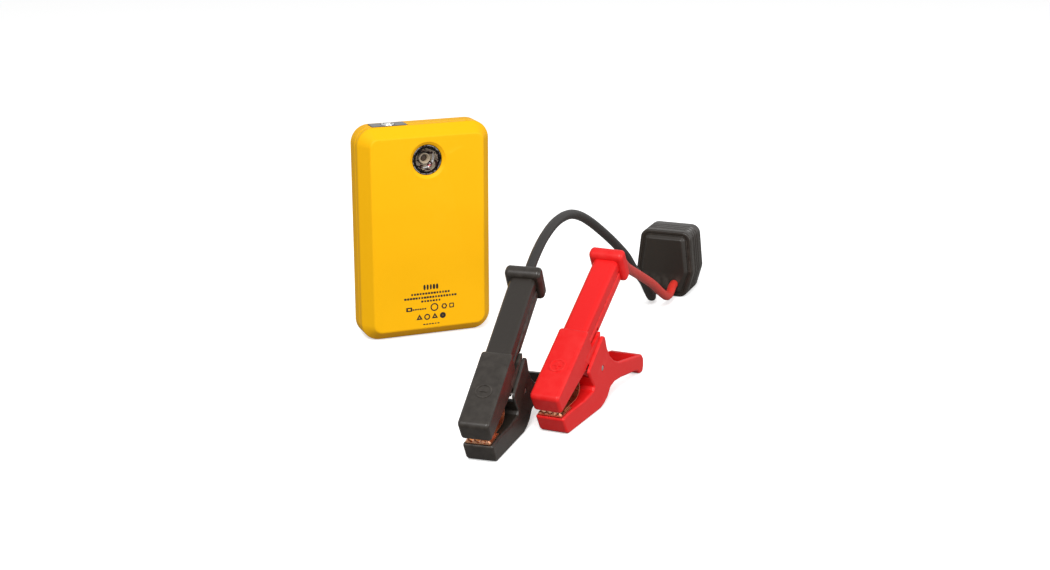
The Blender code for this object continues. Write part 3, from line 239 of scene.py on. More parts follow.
@dataclass(frozen=True)
class Finish:
    """One finish: its material is made on first use and shared after that.

    Each kind of finish says in its own dress method how colour, gloss and relief vary.
    """

    name: str
    colour: Colour
    roughness: float = 0.45
    scale: float = 1000.0        # repeats of its pattern in a metre
    strength: float = 0.3        # of its relief
    depth: float = 0.00003       # of its relief, in metres

    def material(self) -> bpy.types.Material:
        """Return the finish's material."""
        if self.name in MADE:
            return MADE[self.name]
        made = bpy.data.materials.new(f"{self.name}_finish")
        MADE[self.name] = made
        made.use_nodes = True
        made.diffuse_color = (*self.colour, 1.0)
        bench = Bench(made.node_tree)
        shader = made.node_tree.nodes["Principled BSDF"]
        shader.inputs["Base Color"].default_value = (*self.colour, 1.0)
        shader.inputs["Roughness"].default_value = self.roughness
        self.dress(bench, shader, bench.add("ShaderNodeTexCoord").outputs["Object"])
        return made

    def dress(self, bench: Bench, shader: Node,
              place: Socket) -> None:
        """Add the finish's own nodes.

        Args:
            bench: the bench on the material's tree.
            shader: its Principled shader.
            place: the Object coordinates.
        """
        raise NotImplementedError

    def use(self, bench: Bench, effect: Tree,
            inputs: dict[str, object]) -> Node:
        """Place a shared effect in this material with its own values."""
        return bench.add("ShaderNodeGroup", inputs, node_tree=effect)

    def gloss(self, bench: Bench, shader: Node, source: Socket,
              spread: Point, limits: Point = (0.0, 1.0)) -> None:
        """Let the roughness follow a value.

        Args:
            bench: the bench on the material's tree.
            shader: its Principled shader.
            source: the value.
            spread: how far the roughness goes below and above the finish's own.
            limits: the value's range.
        """
        least, most = self.roughness - spread[0], self.roughness + spread[1]
        bench.feed(bench.ramp(source, *limits, least, most), shader, "Roughness")

    def relief(self, bench: Bench, shader: Node,
               height: Socket) -> None:
        """Feed a height to the shader through a Bump node."""
        bump = bench.add("ShaderNodeBump", {"Height": height, "Strength": self.strength,
                                            "Distance": self.depth})
        bench.feed(bump.outputs[0], shader, "Normal")


@dataclass(frozen=True)
class Moulding(Finish):
    """Injection-moulded plastic with an eroded grain and rubbed edges."""

    scale: float = 1700.0
    strength: float = 0.35
    rubbed: Colour = (0.2, 0.2, 0.2)
    drift: Colour = (0.5, 0.5, 0.5)
    wear: float = 0.35
    dust: float = 0.05
    specular: float = 0.28
    spread: Point = (0.06, 0.08)

    def dress(self, bench: Bench, shader: Node,
              place: Socket) -> None:
        """Grain, drift of colour, worn edges and dust."""
        grain = self.use(bench, EFFECTS.grain, {"Vector": place, "Scale": self.scale})
        wear = self.use(bench, EFFECTS.wear, {"Vector": place, "Amount": self.wear})
        dust = self.use(bench, EFFECTS.dust, {"Vector": place, "Amount": self.dust})
        base = bench.blend(grain.outputs["Drift"], (*self.colour, 1.0), (*self.drift, 1.0))
        edged = bench.blend(wear.outputs["Mask"], base, (*self.rubbed, 1.0))
        dusty = bench.blend(dust.outputs["Mask"], edged, DUST)
        bench.feed(dusty, shader, "Base Color")
        gloss = bench.ramp(grain.outputs["Height"], 0.2, 0.8, self.roughness - self.spread[0],
                           self.roughness + self.spread[1])
        bench.feed(bench.plus(gloss, bench.multiply(dust.outputs["Mask"], 0.5)), shader, "Roughness")
        shader.inputs["Specular IOR Level"].default_value = self.specular
        self.relief(bench, shader, grain.outputs["Height"])


@dataclass(frozen=True)
class Glossy(Finish):
    """Polished plastic under a clear coat, with faint smears."""

    scale: float = 700.0
    strength: float = 0.05
    depth: float = 0.00001
    coat: float = 0.6
    coat_roughness: float = 0.06

    def dress(self, bench: Bench, shader: Node,
              place: Socket) -> None:
        """Smears in the gloss and a trace of dust."""
        grain = self.use(bench, EFFECTS.grain, {"Vector": place, "Scale": self.scale})
        dust = self.use(bench, EFFECTS.dust, {"Vector": place, "Amount": 0.01})
        colour = bench.blend(dust.outputs["Mask"], (*self.colour, 1.0), LINT)
        bench.feed(colour, shader, "Base Color")
        self.gloss(bench, shader, grain.outputs["Drift"], (0.0, 0.12))
        shader.inputs["Coat Weight"].default_value = self.coat
        shader.inputs["Coat Roughness"].default_value = self.coat_roughness
        self.relief(bench, shader, grain.outputs["Height"])


@dataclass(frozen=True)
class Rubber(Finish):
    """Matt flexible jacket or flap, with a soft bloom."""

    scale: float = 1100.0
    bloom: Colour = (0.1, 0.1, 0.1)
    wear: float = 0.3
    sheen: float = 0.02

    def dress(self, bench: Bench, shader: Node,
              place: Socket) -> None:
        """Bloom in patches, a fine skin and rubbed edges."""
        grain = self.use(bench, EFFECTS.grain, {"Vector": place, "Scale": self.scale})
        wear = self.use(bench, EFFECTS.wear, {"Vector": place, "Amount": self.wear})
        patch = bench.multiply(grain.outputs["Drift"], 0.5)
        base = bench.blend(patch, (*self.colour, 1.0), (*self.bloom, 1.0))
        edged = bench.blend(wear.outputs["Mask"], base, (*self.bloom, 1.0))
        bench.feed(edged, shader, "Base Color")
        self.gloss(bench, shader, grain.outputs["Height"], (0.05, 0.1), (0.2, 0.8))
        shader.inputs["Sheen Weight"].default_value = self.sheen
        self.relief(bench, shader, grain.outputs["Height"])


@dataclass(frozen=True)
class Metal(Finish):
    """Bare or plated metal, drawn or stamped, a little tarnished."""

    scale: float = 500.0
    strength: float = 0.15
    depth: float = 0.00002
    tarnish: Colour = (0.3, 0.3, 0.3)
    tarnished: float = 0.3
    lines: float = 900.0
    wear: float = 0.6

    def dress(self, bench: Bench, shader: Node,
              place: Socket) -> None:
        """Drawn lines, tarnish in patches and brighter edges."""
        shader.inputs["Metallic"].default_value = 1.0
        drawn = self.use(bench, EFFECTS.scratches, {"Vector": place, "Scale": self.lines})
        grain = self.use(bench, EFFECTS.grain, {"Vector": place, "Scale": self.scale})
        wear = self.use(bench, EFFECTS.wear, {"Vector": place, "Amount": self.wear})
        patch = bench.multiply(grain.outputs["Drift"], self.tarnished)
        base = bench.blend(patch, (*self.colour, 1.0), (*self.tarnish, 1.0))
        bright = tuple(min(1.0, c * 1.15) for c in self.colour)
        edged = bench.blend(wear.outputs["Mask"], base, (*bright, 1.0))
        bench.feed(edged, shader, "Base Color")
        self.gloss(bench, shader, drawn.outputs["Height"], (0.0, 0.14), (0.3, 0.7))
        self.relief(bench, shader, drawn.outputs["Height"])


@dataclass(frozen=True)
class Clear(Finish):
    """Clear moulded plastic, as of the lamp's lens."""

    scale: float = 300.0
    opacity: float = 0.08

    def dress(self, bench: Bench, shader: Node,
              place: Socket) -> None:
        """A clean body, hardly there, with the least change of gloss."""
        shader.inputs["Alpha"].default_value = self.opacity
        grain = self.use(bench, EFFECTS.grain, {"Vector": place, "Scale": self.scale})
        gloss = bench.ramp(grain.outputs["Drift"], 0.0, 1.0, 0.0, self.roughness)
        bench.feed(gloss, shader, "Roughness")


@dataclass(frozen=True)
class Board(Finish):
    """Circuit board: lacquered tracks, lighter than the ground between them."""

    scale: float = 420.0
    depth: float = 0.00004
    track: Colour = (0.05, 0.3, 0.12)

    def dress(self, bench: Bench, shader: Node,
              place: Socket) -> None:
        """Tracks as the cells of a stepped pattern."""
        cells = bench.add("ShaderNodeTexVoronoi", {"Vector": place, "Scale": self.scale},
                          distance="MANHATTAN", feature="F2")
        mask = bench.ramp(cells.outputs["Distance"], 0.5, 0.56)
        colour = bench.blend(mask, (*self.colour, 1.0), (*self.track, 1.0))
        bench.feed(colour, shader, "Base Color")
        self.relief(bench, shader, mask)


@dataclass(frozen=True)
class Foil(Finish):
    """Laminated foil of a pouch cell, slightly crinkled."""

    scale: float = 70.0
    strength: float = 0.4
    depth: float = 0.0004
    metallic: float = 0.8
    haze: float = 200.0

    def dress(self, bench: Bench, shader: Node,
              place: Socket) -> None:
        """Crinkles in relief and in gloss."""
        shader.inputs["Metallic"].default_value = self.metallic
        crease = bench.add("ShaderNodeTexVoronoi", {"Vector": place, "Scale": self.scale},
                           feature="DISTANCE_TO_EDGE")
        grain = self.use(bench, EFFECTS.grain, {"Vector": place, "Scale": self.haze})
        self.gloss(bench, shader, grain.outputs["Drift"], (0.0, 0.2))
        self.relief(bench, shader, crease.outputs["Distance"])


@dataclass(frozen=True)
class Foam(Finish):
    """Open foam pad."""

    scale: float = 1100.0
    strength: float = 0.8
    depth: float = 0.0004

    def dress(self, bench: Bench, shader: Node,
              place: Socket) -> None:
        """Open cells in relief, with painted shade that darkens each cell's pit."""
        cells = bench.add("ShaderNodeTexVoronoi", {"Vector": place, "Scale": self.scale})
        # painted shade: colour falls to 0.4 of itself at the cell centres, where the relief sinks
        # deepest
        dark = tuple(c * 0.4 for c in self.colour)
        colour = bench.blend(cells.outputs["Distance"], (*dark, 1.0), (*self.colour, 1.0))
        bench.feed(colour, shader, "Base Color")
        self.relief(bench, shader, cells.outputs["Distance"])


@dataclass(frozen=True)
class LampSilver(Finish):
    """Vacuum-metallised bowl, with the dark reflections that its curved facets throw about painted
    into its colour as streaks.
    """

    scale: float = 190.0
    whirl: float = 2.2
    centre: Spot = (0.0, 0.0, 0.0)
    # colour of the painted reflections: dark streaks in place of what the facets mirror
    painted_reflection: Colour = (0.07, 0.022, 0.022)

    def dress(self, bench: Bench, shader: Node,
              place: Socket) -> None:
        """Painted dark reflections in streaks that turn round the lamp's axis."""
        shader.inputs["Metallic"].default_value = 1.0
        turned = bench.add("ShaderNodeMapping", {
            "Vector": place, "Location": tuple(-c for c in self.centre)})
        # painted reflection: a whirled noise lays dark streaks round the lamp's axis
        reflection_whorl = bench.add("ShaderNodeTexNoise", {
            "Vector": turned.outputs[0], "Scale": self.scale, "Detail": 1.5,
            "Distortion": self.whirl})
        mask = bench.ramp(reflection_whorl.outputs[0], 0.5, 0.58)
        # the painted reflection is mixed into the silver base colour
        colour = bench.blend(mask, (*self.colour, 1.0), (*self.painted_reflection, 1.0))
        bench.feed(colour, shader, "Base Color")


@dataclass(frozen=True)
class Phosphor(Finish):
    """Light emitter's gel, dark while it is unlit."""

    scale: float = 3000.0

    def dress(self, bench: Bench, shader: Node,
              place: Socket) -> None:
        """A grainy gel."""
        grain = self.use(bench, EFFECTS.grain, {"Vector": place, "Scale": self.scale})
        pale = tuple(min(1.0, c * 1.3) for c in self.colour)
        colour = bench.blend(grain.outputs["Drift"], (*self.colour, 1.0), (*pale, 1.0))
        bench.feed(colour, shader, "Base Color")


YELLOW = Moulding("yellow_moulding", (0.95, 0.49, 0.004), 0.5, rubbed=(1.0, 0.62, 0.03),
                  drift=(0.94, 0.475, 0.003), wear=0.2, dust=0.004, specular=0.12)
BLACK = Moulding("black_moulding", (0.017, 0.013, 0.010), 0.36, rubbed=(0.12, 0.105, 0.09),
                 drift=(0.021, 0.016, 0.012), wear=0.4, dust=0.006, specular=0.45)
RED = Moulding("red_moulding", (0.77, 0.012, 0.012), 0.38, rubbed=(0.9, 0.08, 0.07),
               drift=(0.74, 0.010, 0.010), wear=0.35, dust=0.006)
GLOSS_BLACK = Glossy("gloss_black", (0.009, 0.006, 0.005), 0.12, coat=0.2)
INK = Glossy("face_ink", (0.009, 0.006, 0.004), 0.5, coat=0.0)
SILVER = Metal("satin_silver", (0.82, 0.82, 0.80), 0.22, tarnished=0.05)
BLACK_RUBBER = Rubber("black_rubber", (0.014, 0.012, 0.011), 0.5, bloom=(0.024, 0.021, 0.019))
RED_RUBBER = Rubber("red_rubber", (0.62, 0.022, 0.012), 0.45, bloom=(0.68, 0.035, 0.02))
COPPER = Metal("copper", (0.90, 0.45, 0.26), 0.24, tarnish=(0.45, 0.17, 0.08), tarnished=0.4)
BRASS = Metal("brass", (0.86, 0.63, 0.27), 0.22, tarnish=(0.5, 0.33, 0.12))
STEEL = Metal("steel", (0.62, 0.61, 0.60), 0.26)
BOARD = Board("circuit_board", (0.012, 0.12, 0.045), 0.4)
EMITTER_BOARD = Board("emitter_board", (0.05, 0.03, 0.018), 0.5, track=(0.08, 0.05, 0.03))
FOIL = Foil("cell_foil", (0.62, 0.62, 0.64), 0.3)
FOAM = Foam("foam", (0.12, 0.12, 0.12), 0.9)
CLEAR = Clear("clear_plastic", (0.05, 0.05, 0.05), 0.04)
BEIGE = Moulding("emitter_cone", (0.62, 0.50, 0.34), 0.4, rubbed=(0.7, 0.6, 0.45),
                 drift=(0.66, 0.55, 0.4), wear=0.1, dust=0.0)
GEL = Phosphor("emitter_gel", (0.07, 0.035, 0.015), 0.3)
CHROME = LampSilver("chrome", (0.95, 0.94, 0.94), 0.07, centre=(0.0, -0.01, 0.1096))


class Body(Enum):
    """The CAD model's bodies, by the names that its record gives them."""

    PACK = "pack"
    BUTTON = "button"
    COVER = "cover"
    LEAD_SET = "lead_set"
    BLACK_JAW = "black_lower_jaw"
    RED_JAW = "red_lower_jaw"


# ---------------------------------------------------------------- shapes, in millimetres
def soft_outline(corners: Sequence[Point], radii: Sequence[float] | float,
                 steps: int = 6, closed: bool = True) -> list[Point]:
    """Round the corners of an outline.

    Args:
        corners: its corners in order.
        radii: one radius, or one for each corner.
        steps: flats in each rounded corner.
        closed: whether the last corner joins the first; if not, both ends stay sharp.

    Returns:
        The points, steps + 1 for each rounded corner. A corner on a straight side is
        spread along it, so that outlines of one plan can be lofted together.
    """
    count = len(corners)
    sizes = [radii] * count if isinstance(radii, (int, float)) else list(radii)
    points: list[Vector] = []
    for i, corner in enumerate(corners):
        here = Vector(corner)
        if sizes[i] == 0 or (not closed and i in (0, count - 1)):
            points.append(here)
            continue
        before = (Vector(corners[i - 1]) - here).normalized()
        after = (Vector(corners[(i + 1) % count]) - here).normalized()
        half = before.angle(after) / 2
        if half > math.radians(89):
            points += [here + before * sizes[i] * (1 - 2 * k / steps) for k in range(steps + 1)]
            continue
        middle = here + (before + after).normalized() * sizes[i] / math.sin(half)
        reach = sizes[i] / math.tan(half)
        start = here + before * reach - middle
        sweep = start.angle_signed(here + after * reach - middle)
        points += [middle + Matrix.Rotation(-sweep * k / steps, 2) @ start
                   for k in range(steps + 1)]
    return [(p.x, p.y) for p in points]


def rounded_rectangle(width: float, height: float, radius: float, steps: int = 8) -> list[Point]:
    """Outline of a rectangle with round corners, about its centre."""
    w, h = width / 2, height / 2
    return soft_outline([(w, h), (-w, h), (-w, -h), (w, -h)], radius, steps)


def circle(radius: float, sides: int, start: float = 0.0) -> list[Point]:
    """Points round a circle about the origin."""
    angles = [start + 2 * math.pi * i / sides for i in range(sides)]
    return [(radius * math.cos(a), radius * math.sin(a)) for a in angles]


def loft(rings: Sequence[Sequence[Sequence[float]]], closed: bool = False) -> Shape:
    """Skin rings of equal point counts.

    Args:
        rings: the rings, in order.
        closed: join the last ring to the first, as for a tube wall; else fill both ends.

    Returns:
        A closed mesh.
    """
    mesh = bmesh.new()
    rows = [[mesh.verts.new(p) for p in ring] for ring in rings]
    count = len(rows[0])
    for low, high in zip(rows, rows[1:] + (rows[:1] if closed else [])):
        for i in range(count):
            j = (i + 1) % count
            mesh.faces.new((low[i], low[j], high[j], high[i]))
    if not closed:
        mesh.faces.new(rows[0])
        mesh.faces.new(rows[-1])
    return mesh


def turned(profile: Sequence[Point], centre: Sequence[float], axis: Sequence[float],
           sides: int = 64, closed: bool = False) -> Shape:
    """Turn a profile round an axis.

    Args:
        profile: (distance along the axis, radius), end to end.
        centre: where distance zero lies.
        axis: direction of the axis.
        sides: flats round the piece.
        closed: join the profile's ends, as for a ring.

    Returns:
        A closed mesh.
    """
    turn = Vector((0, 0, 1)).rotation_difference(Vector(axis).normalized()).to_matrix()
    middle = Vector(centre)
    rings = [[middle + turn @ Vector((x, y, along)) for x, y in circle(radius, sides)]
             for along, radius in profile]
    return loft(rings, closed)


def slab(outline: Sequence[Point], low: float, high: float,
         lay: Callable[[float, float, float], Sequence[float]]) -> Shape:
    """Make an outline solid between two depths; lay turns (a, b, depth) into a place."""
    return loft([[lay(a, b, depth) for a, b in outline] for depth in (low, high)])


def rounded(mesh: Shape, width: float, segments: int = 4,
            angle: float = 40.0) -> Shape:
    """Round a mesh's sharp edges by a bevel."""
    bmesh.ops.recalc_face_normals(mesh, faces=mesh.faces)
    sharp = [e for e in mesh.edges
             if len(e.link_faces) == 2 and e.calc_face_angle(0) > math.radians(angle)]
    bmesh.ops.bevel(mesh, geom=sharp, offset=width, offset_type="OFFSET", segments=segments,
                    profile=0.5, affect="EDGES", clamp_overlap=True)
    return mesh


def drawn_in(corners: Sequence[Point], radii: Sequence[float],
             inset: float) -> tuple[list[Point], list[float]]:
    """Move an outline's sides inwards by inset; give its corners and radii after that."""
    count = len(corners)
    area = sum(corners[i - 1][0] * corners[i][1] - corners[i][0] * corners[i - 1][1]
               for i in range(count))
    way = math.copysign(1.0, area)
    moved, sizes = [], []
    for i, corner in enumerate(corners):
        here = Vector(corner)
        into = (here - Vector(corners[i - 1])).normalized()
        out = (Vector(corners[(i + 1) % count]) - here).normalized()
        turn = into.x * out.y - into.y * out.x
        middle = Vector((-into.y - out.y, into.x + out.x)) * way
        step = inset / (1 + into.dot(out))
        moved.append((here.x + middle.x * step, here.y + middle.y * step))
        sizes.append(max(0.05, radii[i] - inset) if turn * way > 0 else radii[i] + inset)
    return moved, sizes


def soft_slab(corners: Sequence[Point], radii: Sequence[float], edge: float,
              half: Callable[[float, float], float], steps: int = 5) -> Shape:
    """A slab across X whose two long rims are rounded.

    Args:
        corners: outline along Y and up Z.
        radii: radius of each corner.
        edge: radius of the rims.
        half: half width at a point of the outline.
        steps: flats in each rounded corner and rim.

    Returns:
        The mesh.
    """
    rings = []
    for way in (-1, 1):
        for k in range(steps + 1):
            a = math.pi / 2 * (k if way > 0 else steps - k) / steps
            outline = soft_outline(*drawn_in(corners, radii, edge * (1 - math.cos(a))), steps)
            drop = edge * (1 - math.sin(a))
            rings.append([(way * (half(u, w) - drop), u, w) for u, w in outline])
    return loft(rings)


def smooth_route(points: Sequence[Sequence[float]], spacing: float) -> list[Vector]:
    """Points a set distance apart on a smooth curve through a route's own points."""
    route = [Vector(p) for p in points]
    ends = [2 * route[0] - route[1], *route, 2 * route[-1] - route[-2]]
    fine = []
    for a, b, c, d in zip(ends, ends[1:], ends[2:], ends[3:]):
        for i in range(20):
            t = i / 20
            fine.append(0.5 * (2 * b + (c - a) * t + (2 * a - 5 * b + 4 * c - d) * t ** 2
                               + (3 * b - a - 3 * c + d) * t ** 3))
    fine.append(route[-1])
    total = sum((q - p).length for p, q in zip(fine, fine[1:]))
    count = max(2, round(total / spacing))
    kept = [fine[0]]
    walked = 0.0
    for p, q in zip(fine, fine[1:]):
        step = (q - p).length
        while len(kept) < count and walked + step >= len(kept) * total / count:
            kept.append(p.lerp(q, (len(kept) * total / count - walked) / step))
        walked += step
    kept.append(fine[-1])
    return kept


def headings(route: Sequence[Vector]) -> list[Vector]:
    """Unit direction of a route at each of its points."""
    ends = [route[0], *route, route[-1]]
    return [(after - before).normalized() for before, after in zip(ends, ends[2:])]


def placed(name: str, data: bpy.types.ID) -> bpy.types.Object:
    """Make an object of a mesh, curve, light or camera and put it in the scene."""
    made = bpy.data.objects.new(name, data)
    bpy.context.collection.objects.link(made)
    return made


def mesh_object(name: str, mesh: Shape) -> bpy.types.Object:
    """Turn a mesh that is done with into an object."""
    data = bpy.data.meshes.new(name)
    mesh.to_mesh(data)
    mesh.free()
    return placed(name, data)


class Piece:
    """A piece in the making: its mesh, then cuts and joins, then its finish and body.

    Args:
        name: the piece's name.
        mesh: its first shape, in millimetres.
        place: where the shape's own axes lie in the frame, in millimetres.
    """

    def __init__(self, name: str, mesh: Shape, place: Matrix = IDENTITY) -> None:
        """Put the first shape into the scene."""
        self.name = name
        self.place = place
        self.tools: list[bpy.types.Object] = []
        self.object = self._stand(name, mesh)

    def _stand(self, name: str, mesh: Shape) -> bpy.types.Object:
        """Turn a shape into an object at the origin, in metres."""
        bmesh.ops.recalc_face_normals(mesh, faces=mesh.faces)
        bmesh.ops.transform(mesh, matrix=Matrix.Scale(MM, 4) @ self.place, verts=mesh.verts)
        return mesh_object(name, mesh)

    def _boolean(self, mesh: Shape, operation: str) -> "Piece":
        """Add one exact Boolean step."""
        tool = self._stand(f"{self.name}_{operation.lower()}", mesh)
        step = self.object.modifiers.new(operation.lower(), "BOOLEAN")
        step.operation = operation
        step.object = tool
        step.solver = "EXACT"
        tool.hide_render = True
        self.tools.append(tool)
        return self

    def cut(self, mesh: Shape) -> "Piece":
        """Take a shape away."""
        return self._boolean(mesh, "DIFFERENCE")

    def join(self, mesh: Shape) -> "Piece":
        """Add a shape."""
        return self._boolean(mesh, "UNION")

    def settle(self, soften: float = 0.0, sharp: float = 38.0) -> "Piece":
        """Make the steps so far into one plain mesh.

        Args:
            soften: width of a last small bevel on edges left sharp by the cuts.
            sharp: angle from which an edge shades sharp.

        Returns:
            The piece.
        """
        if soften:
            edge = self.object.modifiers.new("soften", "BEVEL")
            edge.width = soften * MM
            edge.segments = 2
            edge.limit_method = "ANGLE"
            edge.angle_limit = math.radians(55)
        self._bake()
        for tool in self.tools:
            bpy.data.objects.remove(tool, do_unlink=True)
        self.tools.clear()
        self.object.data.shade_smooth()
        self.object.data.set_sharp_from_angle(angle=math.radians(sharp))
        weigh = self.object.modifiers.new("weigh", "WEIGHTED_NORMAL")
        weigh.keep_sharp = True
        self._bake()
        return self

    def _bake(self) -> None:
        """Replace the mesh by its evaluated self, with no modifiers left."""
        graph = bpy.context.evaluated_depsgraph_get()
        data = bpy.data.meshes.new_from_object(self.object.evaluated_get(graph))
        old = self.object.data
        self.object.modifiers.clear()
        self.object.data = data
        bpy.data.meshes.remove(old)

    def flat(self) -> "Piece":
        """Shade every face flat, for facets and stamped sheet."""
        self.object.data.shade_flat()
        return self

    def show(self, finish: Finish, body: Body, slot: str, *nodes: str) -> bpy.types.Object:
        """Give the piece its finish and its body, and hide the CAD nodes it stands for."""
        self.object.data.materials.clear()
        self.object.data.materials.append(finish.material())
        return register(self.object, body, slot, *nodes)


def register(piece: bpy.types.Object, body: Body, slot: str, *nodes: str) -> bpy.types.Object:
    """Tell the frame about a finished piece and log it."""
    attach(piece, body.value)
    if nodes:
        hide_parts(*nodes)
    log.info("%s on %s, for %s", piece.name, body.value, ", ".join(nodes) or "detail")
    return piece


def dress_node(finish: Finish, *nodes: str) -> None:
    """Give CAD nodes that stay as they are a procedural finish."""
    for node in nodes:
        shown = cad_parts[node]
        shown.data.materials.clear()
        shown.data.materials.append(finish.material())


# ---------------------------------------------------------------- geometry trees
class Repeats:
    """Geometry trees for what repeats or follows a rule."""

    def __init__(self) -> None:
        """Build each tree once."""
        self.row = self._row()
        self.corners = self._corners()
        self.coil = self._coil()
        self.print_line = self._print_line()

    @staticmethod
    def grow(name: str, tree: Tree, mesh: Shape | None,
             finish: Finish, inputs: dict[str, object], place: Matrix = IDENTITY) -> Piece:
        """Run a tree on a template and keep the result as a plain mesh.

        Args:
            name: the piece's name.
            tree: the geometry tree.
            mesh: the template that it repeats, or None.
            finish: the finish that it sets.
            inputs: values of its named inputs, in metres.
            place: where the result's axes lie in the frame, in millimetres.

        Returns:
            The piece.
        """
        piece = Piece(name, mesh if mesh else bmesh.new())
        step = piece.object.modifiers.new("grow", "NODES")
        step.node_group = tree
        values = {**inputs, "Material": finish.material()}
        for item in tree.interface.items_tree:
            if item.item_type == "SOCKET" and item.in_out == "INPUT" and item.name in values:
                step[item.identifier] = values[item.name]
        piece.settle()
        shift = place.copy()
        shift.translation = place.translation * MM
        piece.object.data.transform(shift)
        return piece

    @staticmethod
    def _close(bench: Bench, geometry: Socket, inlet: Node,
               outlet: Node) -> Tree:
        """End a tree in Realize Instances and Set Material."""
        real = bench.add("GeometryNodeRealizeInstances", {"Geometry": geometry})
        painted = bench.add("GeometryNodeSetMaterial", {
            "Geometry": real.outputs[0], "Material": inlet.outputs["Material"]})
        bench.feed(painted.outputs[0], outlet, "Geometry")
        return bench.tree

    def _row(self) -> Tree:
        """A template repeated along a straight line."""
        bench, inlet, outlet = new_group(
            "row_of_pieces", "GeometryNodeTree",
            [("Geometry", "NodeSocketGeometry", None), ("Count", "NodeSocketInt", 5),
             ("Step", "NodeSocketVector", (0.001, 0.0, 0.0)),
             ("Material", "NodeSocketMaterial", None)],
            [("Geometry", "NodeSocketGeometry")])
        line = bench.add("GeometryNodeMeshLine", {"Count": inlet.outputs["Count"],
                                                  "Offset": inlet.outputs["Step"]})
        spread = bench.add("GeometryNodeInstanceOnPoints", {
            "Points": line.outputs[0], "Instance": inlet.outputs["Geometry"]})
        return self._close(bench, spread.outputs[0], inlet, outlet)

    def _corners(self) -> Tree:
        """A template at the four corners of an upright rectangle."""
        bench, inlet, outlet = new_group(
            "four_corners", "GeometryNodeTree",
            [("Geometry", "NodeSocketGeometry", None), ("Width", "NodeSocketFloat", 0.06),
             ("Height", "NodeSocketFloat", 0.1), ("Material", "NodeSocketMaterial", None)],
            [("Geometry", "NodeSocketGeometry")])
        grid = bench.add("GeometryNodeMeshGrid", {
            "Size X": inlet.outputs["Width"], "Size Y": inlet.outputs["Height"],
            "Vertices X": 2, "Vertices Y": 2})
        upright = bench.add("GeometryNodeTransform", {
            "Geometry": grid.outputs[0], "Rotation": (math.pi / 2, 0.0, 0.0)})
        spread = bench.add("GeometryNodeInstanceOnPoints", {
            "Points": upright.outputs[0], "Instance": inlet.outputs["Geometry"]})
        return self._close(bench, spread.outputs[0], inlet, outlet)

    def _coil(self) -> Tree:
        """A close-wound coil of wire along Z."""
        bench, inlet, outlet = new_group(
            "wire_coil", "GeometryNodeTree",
            [("Radius", "NodeSocketFloat", 0.003), ("Wire", "NodeSocketFloat", 0.0006),
             ("Turns", "NodeSocketFloat", 3.0), ("Length", "NodeSocketFloat", 0.008),
             ("Material", "NodeSocketMaterial", None)],
            [("Geometry", "NodeSocketGeometry")])
        spiral = bench.add("GeometryNodeCurveSpiral", {
            "Resolution": 32, "Rotations": inlet.outputs["Turns"],
            "Start Radius": inlet.outputs["Radius"], "End Radius": inlet.outputs["Radius"],
            "Height": inlet.outputs["Length"]})
        wire = bench.add("GeometryNodeCurvePrimitiveCircle", {
            "Resolution": 12, "Radius": inlet.outputs["Wire"]})
        tube = bench.add("GeometryNodeCurveToMesh", {
            "Curve": spiral.outputs[0], "Profile Curve": wire.outputs[0], "Fill Caps": True})
        return self._close(bench, tube.outputs[0], inlet, outlet)

    def _print_line(self) -> Tree:
        """A line of plain dashes of uneven length, in place of printed words."""
        bench, inlet, outlet = new_group(
            "line_of_dashes", "GeometryNodeTree",
            [("Geometry", "NodeSocketGeometry", None), ("Count", "NodeSocketInt", 6),
             ("Step", "NodeSocketVector", (0.004, 0.0, 0.0)), ("Seed", "NodeSocketInt", 1),
             ("Shortest", "NodeSocketFloat", 0.55), ("Material", "NodeSocketMaterial", None)],
            [("Geometry", "NodeSocketGeometry")])
        line = bench.add("GeometryNodeMeshLine", {"Count": inlet.outputs["Count"],
                                                  "Offset": inlet.outputs["Step"]})
        uneven = bench.add("FunctionNodeRandomValue", {
            2: inlet.outputs["Shortest"], 3: 0.9, "Seed": inlet.outputs["Seed"]},
            data_type="FLOAT")
        stretch = bench.add("ShaderNodeCombineXYZ", {0: uneven.outputs[1], 1: 1.0, 2: 1.0})
        spread = bench.add("GeometryNodeInstanceOnPoints", {
            "Points": line.outputs[0], "Instance": inlet.outputs["Geometry"],
            "Scale": stretch.outputs[0]})
        return self._close(bench, spread.outputs[0], inlet, outlet)


REPEATS = Repeats()


